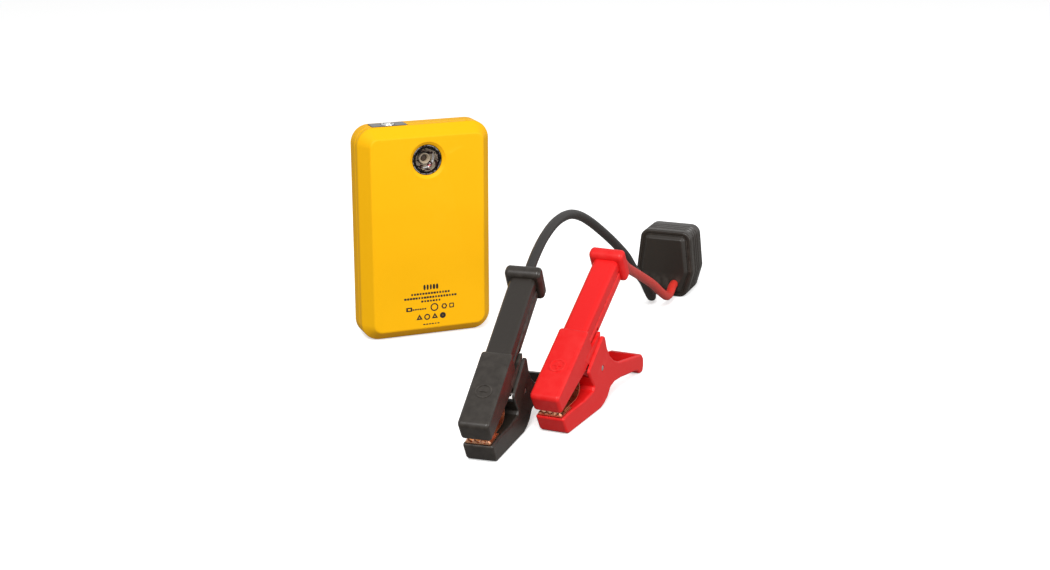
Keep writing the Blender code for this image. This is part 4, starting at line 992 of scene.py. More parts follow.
# ---------------------------------------------------------------- pack
@dataclass
class Pack:
    """The battery pack: two shells, lamp, top controls, face print and side ports."""

    width: float = 82.0
    thick: float = 26.0
    tall: float = 130.0
    corner: float = 11.0
    front_chamfer: Point = (6.0, 7.7)
    rear_chamfer: Point = (4.0, 4.7)
    seam_depth: float = 12.0
    seam_ease: Point = (0.3, 0.35)
    face_rim: float = 4.0
    lamp_down: float = 20.4
    lamp_r: float = 9.2
    lamp_flare: float = 1.9
    lamp_sides: int = 96
    panel: tuple[float, float, float] = (21.6, 11.0, 0.9)
    panel_left: float = 10.2
    panel_proud: float = 0.2
    button_r: float = 4.0
    button_proud: float = 0.9
    button_ring: Point = (2.2, 2.9)
    screw_inset: Point = (9.5, 12.5)
    screw_head_r: float = 2.3
    screw_shank_r: float = 1.2
    screw_sunk: float = 4.6
    boss_r: float = 3.3
    port_depth: float = 11.2
    port_y: float = 1.6
    ports: tuple[tuple[float, Point], ...] = ((61.0, (9.6, 18.8)), (38.0, (5.4, 12.6)))
    charge_down: float = 24.0
    charge_r: float = 2.9
    socket_wall: float = 1.2
    cover_recess: float = 1.5
    cover_t: float = 1.1
    tab: Point = (1.8, 12.0)
    flap_ribs: int = 8
    flap_rib_pitch: float = 1.6

    @property
    def front(self) -> float:
        """Y of the lamp face."""
        return -self.thick / 2

    @property
    def back(self) -> float:
        """Y of the plain back."""
        return self.thick / 2

    @property
    def seam(self) -> float:
        """Y of the parting line."""
        return self.front + self.seam_depth

    @property
    def button_at(self) -> Point:
        """X and Y of the power button."""
        return (-self.width / 2 + self.panel_left + self.panel[0] / 2,
                self.seam + GAP / 2 + 1.9)

    @property
    def lamp_z(self) -> float:
        """Height of the lamp."""
        return self.tall - self.lamp_down

    def ring(self, inset: float, y: float) -> list[Spot]:
        """The rounded outline at one depth, drawn in by inset."""
        radius = max(self.corner - inset, 1.2)
        outline = rounded_rectangle(self.width - 2 * inset, self.tall - 2 * inset, radius, 14)
        return [(x, y, z + self.tall / 2) for x, z in outline]

    def walls(self, face: float, seam: float, chamfer: Point,
              edge: Point) -> list[list[Spot]]:
        """Rings of one shell, out along its skin and back inside.

        Args:
            face: Y of the shell's outer face.
            seam: Y of its open edge.
            chamfer: its width along the face and its depth.
            edge: radii of its two creases.

        Returns:
            The rings, with the face's middle left for the loft to fill.
        """
        along, deep = chamfer
        way = math.copysign(1.0, seam - face)
        back, down = self.seam_ease
        skin = soft_outline([(along + self.face_rim, face), (along, face),
                             (0.0, face + way * deep), (0.0, seam - way * down), (back, seam)],
                            [0.0, edge[0], edge[1], 0.3, 0.0], 5, closed=False)
        inside = [(WALL, seam), (WALL, face + way * (deep + 0.3)),
                  (along + WALL * 0.8, face + way * WALL)]
        return [self.ring(inset, y) for inset, y in skin + inside]

    def port_hole(self, down: float, size: Point, grow: float) -> Shape:
        """A rounded box through the right side wall."""
        outline = rounded_rectangle(size[0] + 2 * grow, size[1] + 2 * grow, 1.0 + grow, 6)
        return slab(outline, self.width / 2 - self.port_depth, self.width / 2 + 2,
                    lambda a, b, x: (x, self.port_y + a, self.tall - down + b))

    def cover_slab(self, low: float, high: float, grow: float = 0.0) -> Shape:
        """A slab of the port cover's outline between two places on X."""
        socket_down, socket = self.ports[0]
        top = self.tall - self.charge_down + self.charge_r + 3.5
        bottom = self.tall - socket_down - socket[1] / 2 - 3.0
        outline = rounded_rectangle(socket[0] + 2.2 + 2 * grow, top - bottom + 2 * grow,
                                    2.2 + grow, 8)
        middle = (top + bottom) / 2
        return slab(outline, low, high, lambda a, b, x: (x, self.port_y + a, middle + b))

    def panel_slab(self, low: float, high: float, grow: float = 0.0) -> Shape:
        """A slab of the top panel's outline between two heights."""
        x0, y0 = self.button_at
        outline = rounded_rectangle(self.panel[0] + 2 * grow, self.panel[1] + 2 * grow, 1.5, 8)
        return slab(outline, low, high, lambda a, b, z: (x0 + a, y0 + b, z))

    def open_up(self, shell: Piece) -> None:
        """Cut what crosses the parting line: panel, button and side ports."""
        floor = self.tall + self.panel_proud - self.panel[2] - GAP
        shell.cut(self.panel_slab(floor, self.tall + PAST, GAP))
        shell.cut(turned([(self.tall - 2 * WALL, self.button_r + RUN),
                          (self.tall + PAST, self.button_r + RUN)],
                         (*self.button_at, 0), (0, 0, 1)))
        shell.cut(self.cover_slab(self.width / 2 - self.cover_recess, self.width / 2 + PAST, GAP))
        for down, size in self.ports:
            shell.cut(self.port_hole(down, size, self.socket_wall + GAP))
        reach = self.charge_r + self.socket_wall + GAP
        shell.cut(turned([(self.width / 2 - self.port_depth, reach), (self.width / 2 + 2, reach)],
                         (0, self.port_y, self.tall - self.charge_down), (1, 0, 0), 40))

    def shells(self) -> None:
        """Both halves of the case."""
        front = Piece("front_half", loft(self.walls(self.front, self.seam,
                                                    self.front_chamfer, (1.8, 2.2))))
        flare = self.lamp_r + self.lamp_flare
        mouth = soft_outline([(-1.0, flare + 0.9), (0.1, flare), (1.4, self.lamp_r),
                              (8.2, self.lamp_r)], [0, 0.4, 0.8, 0], 5, closed=False)
        front.cut(turned(mouth, (0, self.front, self.lamp_z), (0, 1, 0), self.lamp_sides))
        self.open_up(front)
        front.settle().show(YELLOW, Body.PACK, "yellow_moulding", "front_shell")
        rear = Piece("rear_half", loft(self.walls(self.back, self.seam + GAP,
                                                  self.rear_chamfer, (1.6, 2.0))))
        seat = self.back - self.screw_sunk
        for x, z in self.screw_places():
            rear.join(turned([(self.seam + 0.2, self.boss_r), (self.back - WALL + 0.8, self.boss_r)],
                             (x, 0, z), (0, 1, 0), 32))
            head = self.screw_head_r + GAP
            shank = self.screw_shank_r + GAP
            rear.cut(turned([(-3, shank), (seat, shank), (seat, head), (self.back - 0.25, head),
                             (self.back + 1, head + 1.25)], (x, 0, z), (0, 1, 0), 40))
        self.open_up(rear)
        rear.settle().show(YELLOW, Body.PACK, "yellow_moulding", "rear_shell")

    def screw_places(self) -> list[Point]:
        """X and Z of the four shell screws."""
        x = self.width / 2 - self.screw_inset[0]
        low, high = self.screw_inset[1], self.tall - self.screw_inset[1]
        return [(side * x, z) for side in (-1, 1) for z in (low, high)]

    def screws(self) -> None:
        """Four pan head screws with a cross recess, repeated by a geometry tree."""
        seat = self.back - self.screw_sunk + GAP
        head, r = self.screw_head_r, self.screw_shank_r
        shank = soft_outline([(-9.5, 0.4), (-8.8, r), (seat, r), (seat, head),
                              (seat + 1.5, head), (seat + 1.5, 0.3)],
                             [0, 0.2, 0.1, 0.2, 0.8, 0], 4, closed=False)
        screw = Piece("screw", turned(shank, (0, 0, 0), (0, 1, 0), 32))
        for across, upright in ((1.4, 0.28), (0.28, 1.4)):
            screw.cut(loft([[(across * a, y, upright * b)
                             for a, b in ((-1, -1), (1, -1), (1, 1), (-1, 1))]
                            for y in (seat + 0.7, seat + 2)]))
        screw.settle()
        template = bmesh.new()
        template.from_mesh(screw.object.data)
        bmesh.ops.scale(template, vec=(1 / MM,) * 3, verts=template.verts)
        bpy.data.objects.remove(screw.object, do_unlink=True)
        places = self.screw_places()
        middle = Matrix.Translation((0, 0, self.tall / 2))
        REPEATS.grow("shell_screws", REPEATS.corners, template, STEEL, {
            "Width": (places[2][0] - places[0][0]) * MM,
            "Height": (places[1][1] - places[0][1]) * MM}, middle).show(
            STEEL, Body.PACK, "steel", *[f"shell_screw_{i}" for i in (1, 2, 3, 4)])

    def top_controls(self) -> None:
        """Glossy panel and the power button with its inlaid ring."""
        top = self.tall + self.panel_proud
        x, y = self.button_at
        panel = Piece("top_window", rounded(self.panel_slab(top - self.panel[2], top), 0.3, 3))
        panel.cut(turned([(self.tall - PAST, self.button_r + RUN),
                          (self.tall + PAST, self.button_r + RUN)], (x, y, 0), (0, 0, 1)))
        panel.settle().show(GLOSS_BLACK, Body.PACK, "gloss_black", "top_panel")
        under = self.tall - WALL - GAP
        crown = self.tall + self.button_proud
        inner, outer = self.button_ring
        cap = soft_outline([(under - 1.0, 0.5), (under - 1.0, self.button_r + 1.1),
                            (under, self.button_r + 1.1), (under, self.button_r),
                            (crown - 0.15, self.button_r), (crown - 0.15, outer),
                            (crown - 0.45, outer), (crown - 0.45, inner), (crown, 2.1),
                            (crown - 0.05, 0.3)],
                           [0, 0.2, 0.2, 0.1, 0.6, 0.1, 0.1, 0.1, 0.2, 0], 4, closed=False)
        Piece("button_cap", turned(cap, (x, y, 0), (0, 0, 1))).settle().show(
            SILVER, Body.BUTTON, "satin_silver", "power_button")
        inlay = [(crown - 0.44, 2.25), (crown - 0.28, 2.3), (crown - 0.28, 2.8),
                 (crown - 0.44, 2.85)]
        Piece("button_inlay", turned(inlay, (x, y, 0), (0, 0, 1), closed=True)).settle().show(
            GLOSS_BLACK, Body.BUTTON, "gloss_black")

    def lamp(self) -> None:
        """Lens, faceted bowl, and the emitter in its pale cone."""
        centre = (0, self.front, self.lamp_z)
        lens_in, lens_t = 0.7, 1.0
        r = self.lamp_r - GAP
        lens = soft_outline([(lens_in, 0.2), (lens_in + 0.25, r), (lens_in + lens_t, r),
                             (lens_in + lens_t, 0.2)], [0, 0.3, 0.2, 0], 4, closed=False)
        Piece("lens", turned(lens, centre, (0, 1, 0), self.lamp_sides)).settle().show(
            CLEAR, Body.PACK, "clear_plastic", "lamp_lens")
        rim = lens_in + lens_t + GAP
        deep = 6.6
        neck = 3.7
        steps = 7
        curve = [(rim + deep * t * t, neck + (r - neck - 0.5) * math.sqrt(1 - t * t))
                 for t in (i / steps for i in range(steps + 1))]
        outside = [(rim + deep + 0.3, neck + 0.5), (rim + deep * 0.6, r - 1.2), (rim + 0.9, r),
                   (rim, r)]
        facets = 22
        rings = []
        for level, (along, radius) in enumerate(curve + outside):
            twist = math.pi / facets * (level if level <= steps else steps)
            rings.append([(x, self.front + along, self.lamp_z + z)
                          for x, z in circle(radius, facets, twist)])
        Piece("reflector", loft(rings, closed=True)).settle().flat().show(
            CHROME, Body.PACK, "chrome", "lamp_reflector")
        seat = rim + deep + 0.9
        cone = soft_outline([(seat - 3.6, neck - 0.5), (seat - 3.9, neck - 0.9),
                             (seat - 1.2, 2.1), (seat - 0.4, 2.1), (seat - 0.4, neck - 0.5)],
                            [0.1, 0.2, 0.1, 0, 0], 4, closed=False)
        Piece("emitter_cone", turned(cone, centre, (0, 1, 0), 48, closed=True)).settle().show(
            BEIGE, Body.PACK, "circuit_board")
        gel = [(seat - 1.1, 0.2), (seat - 1.0, 0.8), (seat - 0.7, 1.2), (seat - 0.2, 1.35),
               (seat + 0.2, 1.35)]
        Piece("emitter_gel", turned(gel, centre, (0, 1, 0), 32)).settle().show(
            GEL, Body.PACK, "circuit_board")
        dress_node(EMITTER_BOARD, "lamp_board")

    def battery(self) -> None:
        """Three pouch cells with sealed edges; foam, straps and board keep their CAD shape."""
        for number in (1, 2, 3):
            low, high = (Vector(c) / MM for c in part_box(f"battery_cell_{number}"))
            middle = (low + high) / 2
            size = high - low
            rings = []
            for inset, depth in ((0.0, 0.46), (0.0, 0.54), (2.2, 0.62), (3.2, 0.9), (4.4, 1.0)):
                outline = rounded_rectangle(size.x - 2 * inset, size.z - 2 * inset, 1.6, 5)
                rings.append([(middle.x + a, low.y + size.y * depth, middle.z + b)
                              for a, b in outline])
            mirrored = [[(x, 2 * middle.y - y, z) for x, y, z in ring]
                        for ring in reversed(rings[1:])]
            Piece(f"pouch_cell_{number}", loft(mirrored + rings[1:])).settle().show(
                FOIL, Body.PACK, "cell_foil", f"battery_cell_{number}")
        dress_node(FOAM, "battery_foam")
        dress_node(STEEL, "cell_strap_negative", "cell_strap_positive", "usb_socket")
        dress_node(BOARD, "main_board")
        dress_node(BLACK, "button_switch", "lead_socket", "charge_socket")
        dress_node(BRASS, "socket_pin_negative", "socket_pin_positive")

    def port_flap(self) -> None:
        """Rubber flap over the side ports, with a ribbed finger tab."""
        inner = self.width / 2 - self.cover_recess + GAP
        low, high = (Vector(c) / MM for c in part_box("port_cover"))
        middle = (low.z + high.z) / 2
        flap = Piece("port_flap", rounded(self.cover_slab(inner, inner + self.cover_t), 0.35, 3))
        outline = rounded_rectangle(*self.tab, 0.8, 6)
        tab = slab(outline, inner + self.cover_t - 0.5, inner + self.cover_t + 0.1,
                   lambda a, b, x: (x, low.y + 1.7 + a, middle + b))
        flap.join(rounded(tab, 0.2, 2))
        flap.settle().show(BLACK_RUBBER, Body.COVER, "black_rubber", "port_cover")
        rib = rounded(slab(rounded_rectangle(4.6, 0.7, 0.3, 4), 0.0, 0.3,
                           lambda a, b, x: (x, a, b)), 0.1, 2)
        place = Matrix.Translation((inner + self.cover_t - 0.2, self.port_y + 1.2,
                                    middle - (self.flap_ribs - 1) * self.flap_rib_pitch / 2))
        REPEATS.grow("flap_ribs", REPEATS.row, rib, BLACK_RUBBER,
                     {"Count": self.flap_ribs, "Step": (0, 0, self.flap_rib_pitch * MM)}, place).show(
            BLACK_RUBBER, Body.COVER, "black_rubber")

    def face_print(self) -> None:
        """Plain dashes and plain marks where a maker would print a rating label."""
        lines = ((0.5, 31.9, 10.0, 5, 3.4), (0.2, 28.0, 25.0, 14, 1.3),
                 (0.2, 25.5, 33.6, 19, 1.3), (0.4, 23.2, 12.7, 7, 1.2),
                 (-7.0, 18.5, 9.0, 6, 0.9), (0.5, 8.6, 10.8, 6, 0.7))
        for number, (x, z, wide, count, tall) in enumerate(lines, 1):
            pitch = wide / count
            dash = slab(rounded_rectangle(pitch, tall, tall * 0.3, 3), 0.0, 0.06,
                        lambda a, b, y: (a, -y, b))
            start = Matrix.Translation((x - wide / 2 + pitch / 2, self.front + 0.02, z))
            REPEATS.grow(f"printed_line_{number}", REPEATS.print_line, dash, INK, {
                "Count": count, "Step": (pitch * MM, 0, 0), "Seed": number}, start).show(
                INK, Body.PACK, "gloss_black")
        disc, triangle = circle(1.9, 32), circle(2.3, 3, math.pi / 2)
        marks = ((2.6, 18.9, circle(2.5, 40), 0.7), (8.9, 18.9, circle(1.9, 6), 0.55),
                 (13.6, 18.9, rounded_rectangle(3.0, 3.0, 0.5, 4), 0.6),
                 (-13.4, 18.9, rounded_rectangle(3.8, 2.6, 0.4, 4), 0.45),
                 (-7.0, 13.0, triangle, 0.3), (-2.1, 13.2, disc, 0.6),
                 (2.8, 13.0, triangle, 0.3), (7.9, 13.2, disc, 0.1))
        for number, (x, z, outline, hollow) in enumerate(marks, 1):
            rings = [[(x + a * share, self.front + y, z + b * share) for a, b in outline]
                     for share, y in ((1.0, 0.02), (1.0, -0.04), (hollow, -0.04), (hollow, 0.02))]
            Piece(f"printed_mark_{number}", loft(rings, closed=True)).settle().show(
                INK, Body.PACK, "gloss_black")

    def build(self) -> None:
        """Build and dress the whole pack."""
        self.shells()
        self.screws()
        self.top_controls()
        self.lamp()
        self.battery()
        self.port_flap()
        self.face_print()


# ---------------------------------------------------------------- clamps
class Polarity(Enum):
    """Which terminal a clamp is for, with the half sizes of its sign's bars."""

    NEGATIVE = ((2.1, 0.45),)
    POSITIVE = ((2.1, 0.45), (0.45, 2.1))


@dataclass
class SpringClamp:
    """One spring clamp, standing on its lower jaw and on the lip of its lever.

    Its own axes: X across, Y along from the nose, Z up from the mouth line.
    """

    colour: str
    at: Point
    heading: float
    moulding: Finish
    jaw: Body
    polarity: Polarity
    tilt: float = 31.0
    nose_low: float = 15.2
    top: float = 12.8
    cover_length: float = 48.5
    length: float = 107.0
    cover_half: Point = (8.2, 7.9)
    handle_half: float = 6.9
    handle_step: float = 0.7
    handle_depth: float = 15.0
    handle_split: float = 4.3
    collar_half: float = 9.8
    collar_length: float = 7.5
    collar_span: Point = (-4.4, 15.8)
    skin: float = 1.7
    cheek: float = 1.4
    pivot: Point = (50.0, -19.0)
    ear_r: float = 5.5
    ear_t: float = 1.8
    pivot_r: float = 1.5
    plate_half: float = 6.4
    lug_w: float = 5.0
    braid_half: float = 5.2
    braid_t: float = 0.5
    braid_lift: float = 0.06
    braid_cords: int = 32
    coil_half: float = 3.9
    coil_r: float = 3.1
    wire_r: float = 0.6
    place: Matrix = field(init=False)

    def __post_init__(self) -> None:
        """Work out where the clamp's own axes lie."""
        self.place = (Matrix.Translation((*self.at, 0))
                      @ Matrix.Rotation(-math.radians(self.heading), 4, "Z")
                      @ Matrix.Rotation(math.radians(self.tilt), 4, "X")
                      @ Matrix.Translation((0, 0, self.nose_low)))

    @property
    def slot(self) -> str:
        """The record's slot of the clamp's mouldings."""
        return f"{self.colour}_moulding"

    @property
    def handle_top(self) -> float:
        """Height of the handle's top."""
        return self.top - self.handle_step

    @property
    def rim(self) -> float:
        """Where the collar starts."""
        return self.length - self.collar_length

    def floor(self, u: float) -> float:
        """Height of the table under a point that far along."""
        return -self.nose_low - u * math.tan(math.radians(self.tilt))

    def side(self, outline: Sequence[Point], half: float,
             low: float | None = None) -> Shape:
        """Make a side view solid across the clamp.

        Args:
            outline: points along and up.
            half: half width, or the far side if low is given.
            low: the near side.

        Returns:
            The mesh.
        """
        return slab(outline, -half if low is None else low, half, lambda u, w, v: (v, u, w))

    def across(self, u: float, w: float, radius: float, low: float,
               high: float) -> Shape:
        """A round bar across the clamp."""
        return self.side([(u + x, w + y) for x, y in circle(radius, 40)], high, low)

    def along(self, profile: Sequence[Point], w: float) -> Shape:
        """A round bar along the clamp."""
        return turned(profile, (0, 0, w), (0, 1, 0), 40)

    def draft(self, u: float, w: float) -> float:
        """Taper of the jaw cover from its lower edge to its top and at its nose."""
        wide, low = self.cover_half
        share = min(1.0, max(0.0, (self.top - w) / (self.top + 5)))
        narrow = 0.35 * max(0.0, 1.0 - u / 3.0)
        return wide + (low - wide) * share - narrow

    def flare(self, u: float, w: float) -> float:
        """The lower shell widens from the jaw to the cheeks."""
        jaw = self.cover_half[1]
        share = min(1.0, max(0.0, (u - 6) / 28))
        eased = share * share * (3 - 2 * share)
        return jaw + (RUN + self.cheek) * eased

    def rail(self, high: float, low: float, edges: Point, ends: Point) -> Shape:
        """A stretch of the handle.

        Args:
            high: its top.
            low: its underside.
            edges: radii of its upper and of its lower edges.
            ends: where it starts and ends.

        Returns:
            The mesh.
        """
        half = self.handle_half
        section = soft_outline([(half, high), (-half, high), (-half, low), (half, low)],
                               [edges[0]] * 2 + [edges[1]] * 2, 7)
        return loft([[(x, u, z) for x, z in section] for u in ends])

    def upper_shell(self) -> None:
        """Jaw cover, handle top, collar and the ears for the pin, as one moulding."""
        end, top = self.cover_length, self.top
        nose = [(0.3, 1.1), (0.0, top), (end, top), (end, -4.6), (35.5, -5.3)]
        body = Piece(f"{self.colour}_cover", soft_slab(nose, [1.8, 2.6, 2.2, 2.0, 3.0], 1.7,
                                                       self.draft), self.place)
        body.join(self.rail(self.handle_top, self.handle_split, (2.6, 1.1),
                            (self.cover_length - 3, self.length - 3)))
        low, high = self.collar_span
        collar = [(self.rim, low + 0.2), (self.length, low + 0.4), (self.length, high - 0.8),
                  (self.rim, high)]
        body.join(soft_slab(collar, [2.5, 2.6, 3.0, 3.2], 2.3, lambda u, w: self.collar_half))
        pu, pw = self.pivot
        outer = self.cover_half[0] - 0.1
        ear = [(37, 1), (pu + self.ear_r + 4.5, -1.2), (pu + self.ear_r + 2.2, -6)]
        ear += [(pu + self.ear_r * math.cos(a), pw + self.ear_r * math.sin(a))
                for a in (math.radians(d) for d in range(20, -201, -10))]
        for way in (-1, 1):
            low_v, high_v = sorted((way * outer, way * (outer - self.ear_t)))
            body.join(self.side(ear, high_v, low_v))
        s = self.skin
        body.cut(self.side([(s, -8), (s, top - s), (end - s, top - s), (end - s, -8)],
                           self.cover_half[0] - s + 0.1))
        body.cut(self.side([(end - 4, -8), (end - 4, self.handle_top - s),
                            (self.rim - 1.5, self.handle_top - s), (self.rim - 1.5, -8)],
                           self.handle_half - s))
        body.cut(self.along([(self.rim - 3, LEAD_R + GAP), (self.length - 0.8, LEAD_R + GAP),
                             (self.length + 0.4, LEAD_R + 1.3)], self.lug_w))
        body.cut(self.across(pu, pw, self.pivot_r + GAP, -12, 12))
        body.settle().show(self.moulding, Body.LEAD_SET, self.slot,
                           f"{self.colour}_upper_shell")

    def handle_cover(self) -> None:
        """Lower half of the handle, rounded into a second rail below the parting line."""
        start, end = self.cover_length + GAP, self.rim - GAP
        high = self.handle_split - GAP
        low = self.handle_top - self.handle_depth
        body = Piece(f"{self.colour}_grip", self.rail(high, low, (1.5, 2.2), (start, end)),
                     self.place)
        s = self.skin
        body.cut(self.side([(start - 1, low + s), (end + 1, low + s), (end + 1, high + 1),
                            (start - 1, high + 1)], self.handle_half - s))
        reach = self.pivot[0] + self.ear_r + 5.6
        outer = self.cover_half[0] - 0.1
        notch = [(start - 1, low - 1), (reach, low - 1), (reach, 1.5), (start - 1, 1.5)]
        for way in (-1, 1):
            low_v, high_v = sorted((way * (outer + 1), way * (outer - self.ear_t - GAP)))
            body.cut(self.side(notch, high_v, low_v))
        body.settle().show(self.moulding, Body.LEAD_SET, self.slot,
                           f"{self.colour}_handle_cover")

    def lower_shell(self) -> None:
        """Lower jaw, cheeks outside the cover, and the open lever with its end lip."""
        f = self.floor
        view = [(0.0, -2.4), (0.2, -13.4), (1.7, f(1.7)), (37.0, f(37.0)), (42.0, -39.2),
                (47.5, -39.9), (53.0, -38.4), (59.0, -40.6), (67.0, -46.4), (76.0, -54.0),
                (84.0, -60.6), (88.0, -64.6), (89.3, f(89.3) + 0.6), (90.4, f(90.4)),
                (93.4, f(93.4)), (96.8, -69.0), (98.6, -65.2), (97.6, -61.0), (88.0, -52.4),
                (78.0, -43.4), (70.0, -36.4), (65.0, -29.6), (61.4, -21.6), (60.6, -14.0),
                (61.6, -6.4), (59.2, -3.6), (36.4, -4.9), (34.8, -6.0), (35.6, -13.0),
                (36.6, -18.6), (34.4, -19.8), (24.0, -15.4), (12.0, -8.9)]
        radii = [1.3, 1.6, 0.8, 5.0, 3.0, 2.4, 3.0, 3.0, 4.0, 4.0, 2.0, 0.8, 0.4, 0.8,
                 1.6, 1.5, 1.5, 1.8, 5.0, 4.0, 3.0, 3.0, 3.0, 3.0, 1.4, 1.3, 1.2, 1.2,
                 2.5, 1.0, 1.0, 5.0, 5.0]
        body = Piece(f"{self.colour}_jaw", soft_slab(view, radii, 1.2, self.flare), self.place)
        well = soft_outline([(30.5, 3), (70, 3), (95.4, -55.6), (86.8, -66.2), (60.0, -46.0),
                             (58.4, -36.4), (50.5, -37.2), (42.0, -35.6), (39.0, -24.0),
                             (37.0, -15.0)], [0.5, 0.5, 1.5, 2.0, 3.0, 2.0, 2.0, 3.0, 1.0, 1.0],
                            5)
        body.cut(self.side(well, self.cover_half[1] + RUN))
        body.cut(self.across(*self.pivot, self.pivot_r + GAP, -13, 13))
        g = GAP
        seat = [(1.3 - g, -5.4 - g), (1.3 - g, -0.9 + g), (2.4 + g, -0.9 + g), (2.6 + g, -3.1 + g),
                (12.0, -8.1 + g), (13.5 + g, -8.9 + g), (13.5 + g, -10.5 - g),
                (12.0, -9.7 - g), (2.4, -5.4 - g)]
        body.cut(self.side(seat, self.plate_half + g))
        body.settle().show(self.moulding, self.jaw, self.slot, f"{self.colour}_lower_shell")

    def polarity_mark(self) -> None:
        """A raised ring with the terminal's sign, on the jaw cover."""
        u, z = 22.0, self.top
        ring = [(z - 0.3, 3.5), (z + 0.28, 3.6), (z + 0.36, 3.95), (z + 0.28, 4.3),
                (z - 0.3, 4.4)]
        mark = Piece(f"{self.colour}_sign", turned(ring, (0, u, 0), (0, 0, 1), 72, closed=True),
                     self.place)
        bars = [rounded(slab(rounded_rectangle(2 * half_x, 2 * half_y, 0.25, 4), z - 0.3,
                             z + 0.34, lambda a, b, h: (a, u + b, h)), 0.12, 2)
                for half_x, half_y in self.polarity.value]
        sign = Piece(f"{self.colour}_sign_bar", bars[0], self.place)
        for bar in bars[1:]:
            sign.join(bar)
        mark.settle().show(self.moulding, Body.LEAD_SET, self.slot)
        sign.settle().show(self.moulding, Body.LEAD_SET, self.slot)

    def strap(self) -> None:
        """Flexible copper strap along the jaw and up into the cover, woven from bundles."""
        route = smooth_route([(0, 8.0, -5.2), (0, 12.0, -7.2), (0, 17.0, -9.9),
                              (0, 22.0, -12.3), (0, 25.5, -12.9), (0, 28.2, -11.4),
                              (0, 29.2, -7.6), (0, 28.8, -3.0), (0, 28.0, 0.6)], 0.6)
        rings = []
        for i, (p, ahead) in enumerate(zip(route, headings(route))):
            side = Vector((0, ahead.z, -ahead.y))
            ring = []
            for k in range(self.braid_cords + 1):
                v = -self.braid_half + 2 * self.braid_half * k / self.braid_cords
                lift = self.braid_lift * math.cos(k * math.pi + i * math.pi / 2)
                ring.append(Vector((v, p.y, p.z)) + side * lift)
            ring += [q + side * self.braid_t for q in reversed(ring)]
            rings.append(ring)
        Piece(f"{self.colour}_braid", loft(rings), self.place).settle().show(
            COPPER, Body.LEAD_SET, "copper", f"{self.colour}_jaw_strap")

    def hardware(self) -> None:
        """Pivot pin with domed ends, and the coil spring with its two legs."""
        pu, pw = self.pivot
        outside = self.cover_half[1] + RUN + self.cheek
        r = self.pivot_r
        pin = soft_outline([(-outside, 0.2), (-outside + 0.1, r), (outside - 0.1, r),
                            (outside, 0.2)], [0, 0.4, 0.4, 0], 4, closed=False)
        Piece(f"{self.colour}_pin", turned(pin, (0, pu, pw), (1, 0, 0), 40),
              self.place).settle().show(STEEL, Body.LEAD_SET, "steel",
                                        f"{self.colour}_pivot_pin")
        half, coil_r, wire = self.coil_half, self.coil_r, self.wire_r
        turn = (self.place @ Matrix.Translation((-half, pu, pw))
                @ Matrix.Rotation(math.pi / 2, 4, "Y"))
        REPEATS.grow(f"{self.colour}_spring", REPEATS.coil, None, STEEL, {
            "Radius": coil_r * MM, "Wire": wire * MM, "Turns": 3.0, "Length": 2 * half * MM},
            turn).show(STEEL, Body.LEAD_SET, "steel", f"{self.colour}_torsion_spring")
        low = self.handle_top - self.handle_depth - 1.4
        legs = (((-half, pu, pw + coil_r), (-half, pu + 6, low - 0.6), (-half, pu + 12.5, low)),
                ((half, pu, pw - coil_r), (half, pu + 12.0, pw - 9.5)))
        for number, leg in enumerate(legs, 1):
            route = smooth_route(leg, 1.5)
            rings = []
            for p, ahead in zip(route, headings(route)):
                up = Vector((1, 0, 0)).cross(ahead)
                rings.append([p + Vector((1, 0, 0)) * x + up * y for x, y in circle(wire, 12)])
            Piece(f"{self.colour}_spring_leg_{number}", loft(rings), self.place).settle().show(
                STEEL, Body.LEAD_SET, "steel")

    def build(self) -> None:
        """Build and dress the whole clamp."""
        self.upper_shell()
        self.handle_cover()
        self.lower_shell()
        self.polarity_mark()
        self.strap()
        self.hardware()
        dress_node(COPPER, *[f"{self.colour}_{n}" for n in ("upper_plate", "lower_plate",
                                                            "cable_lug")])
        dress_node(STEEL, f"{self.colour}_lug_screw")


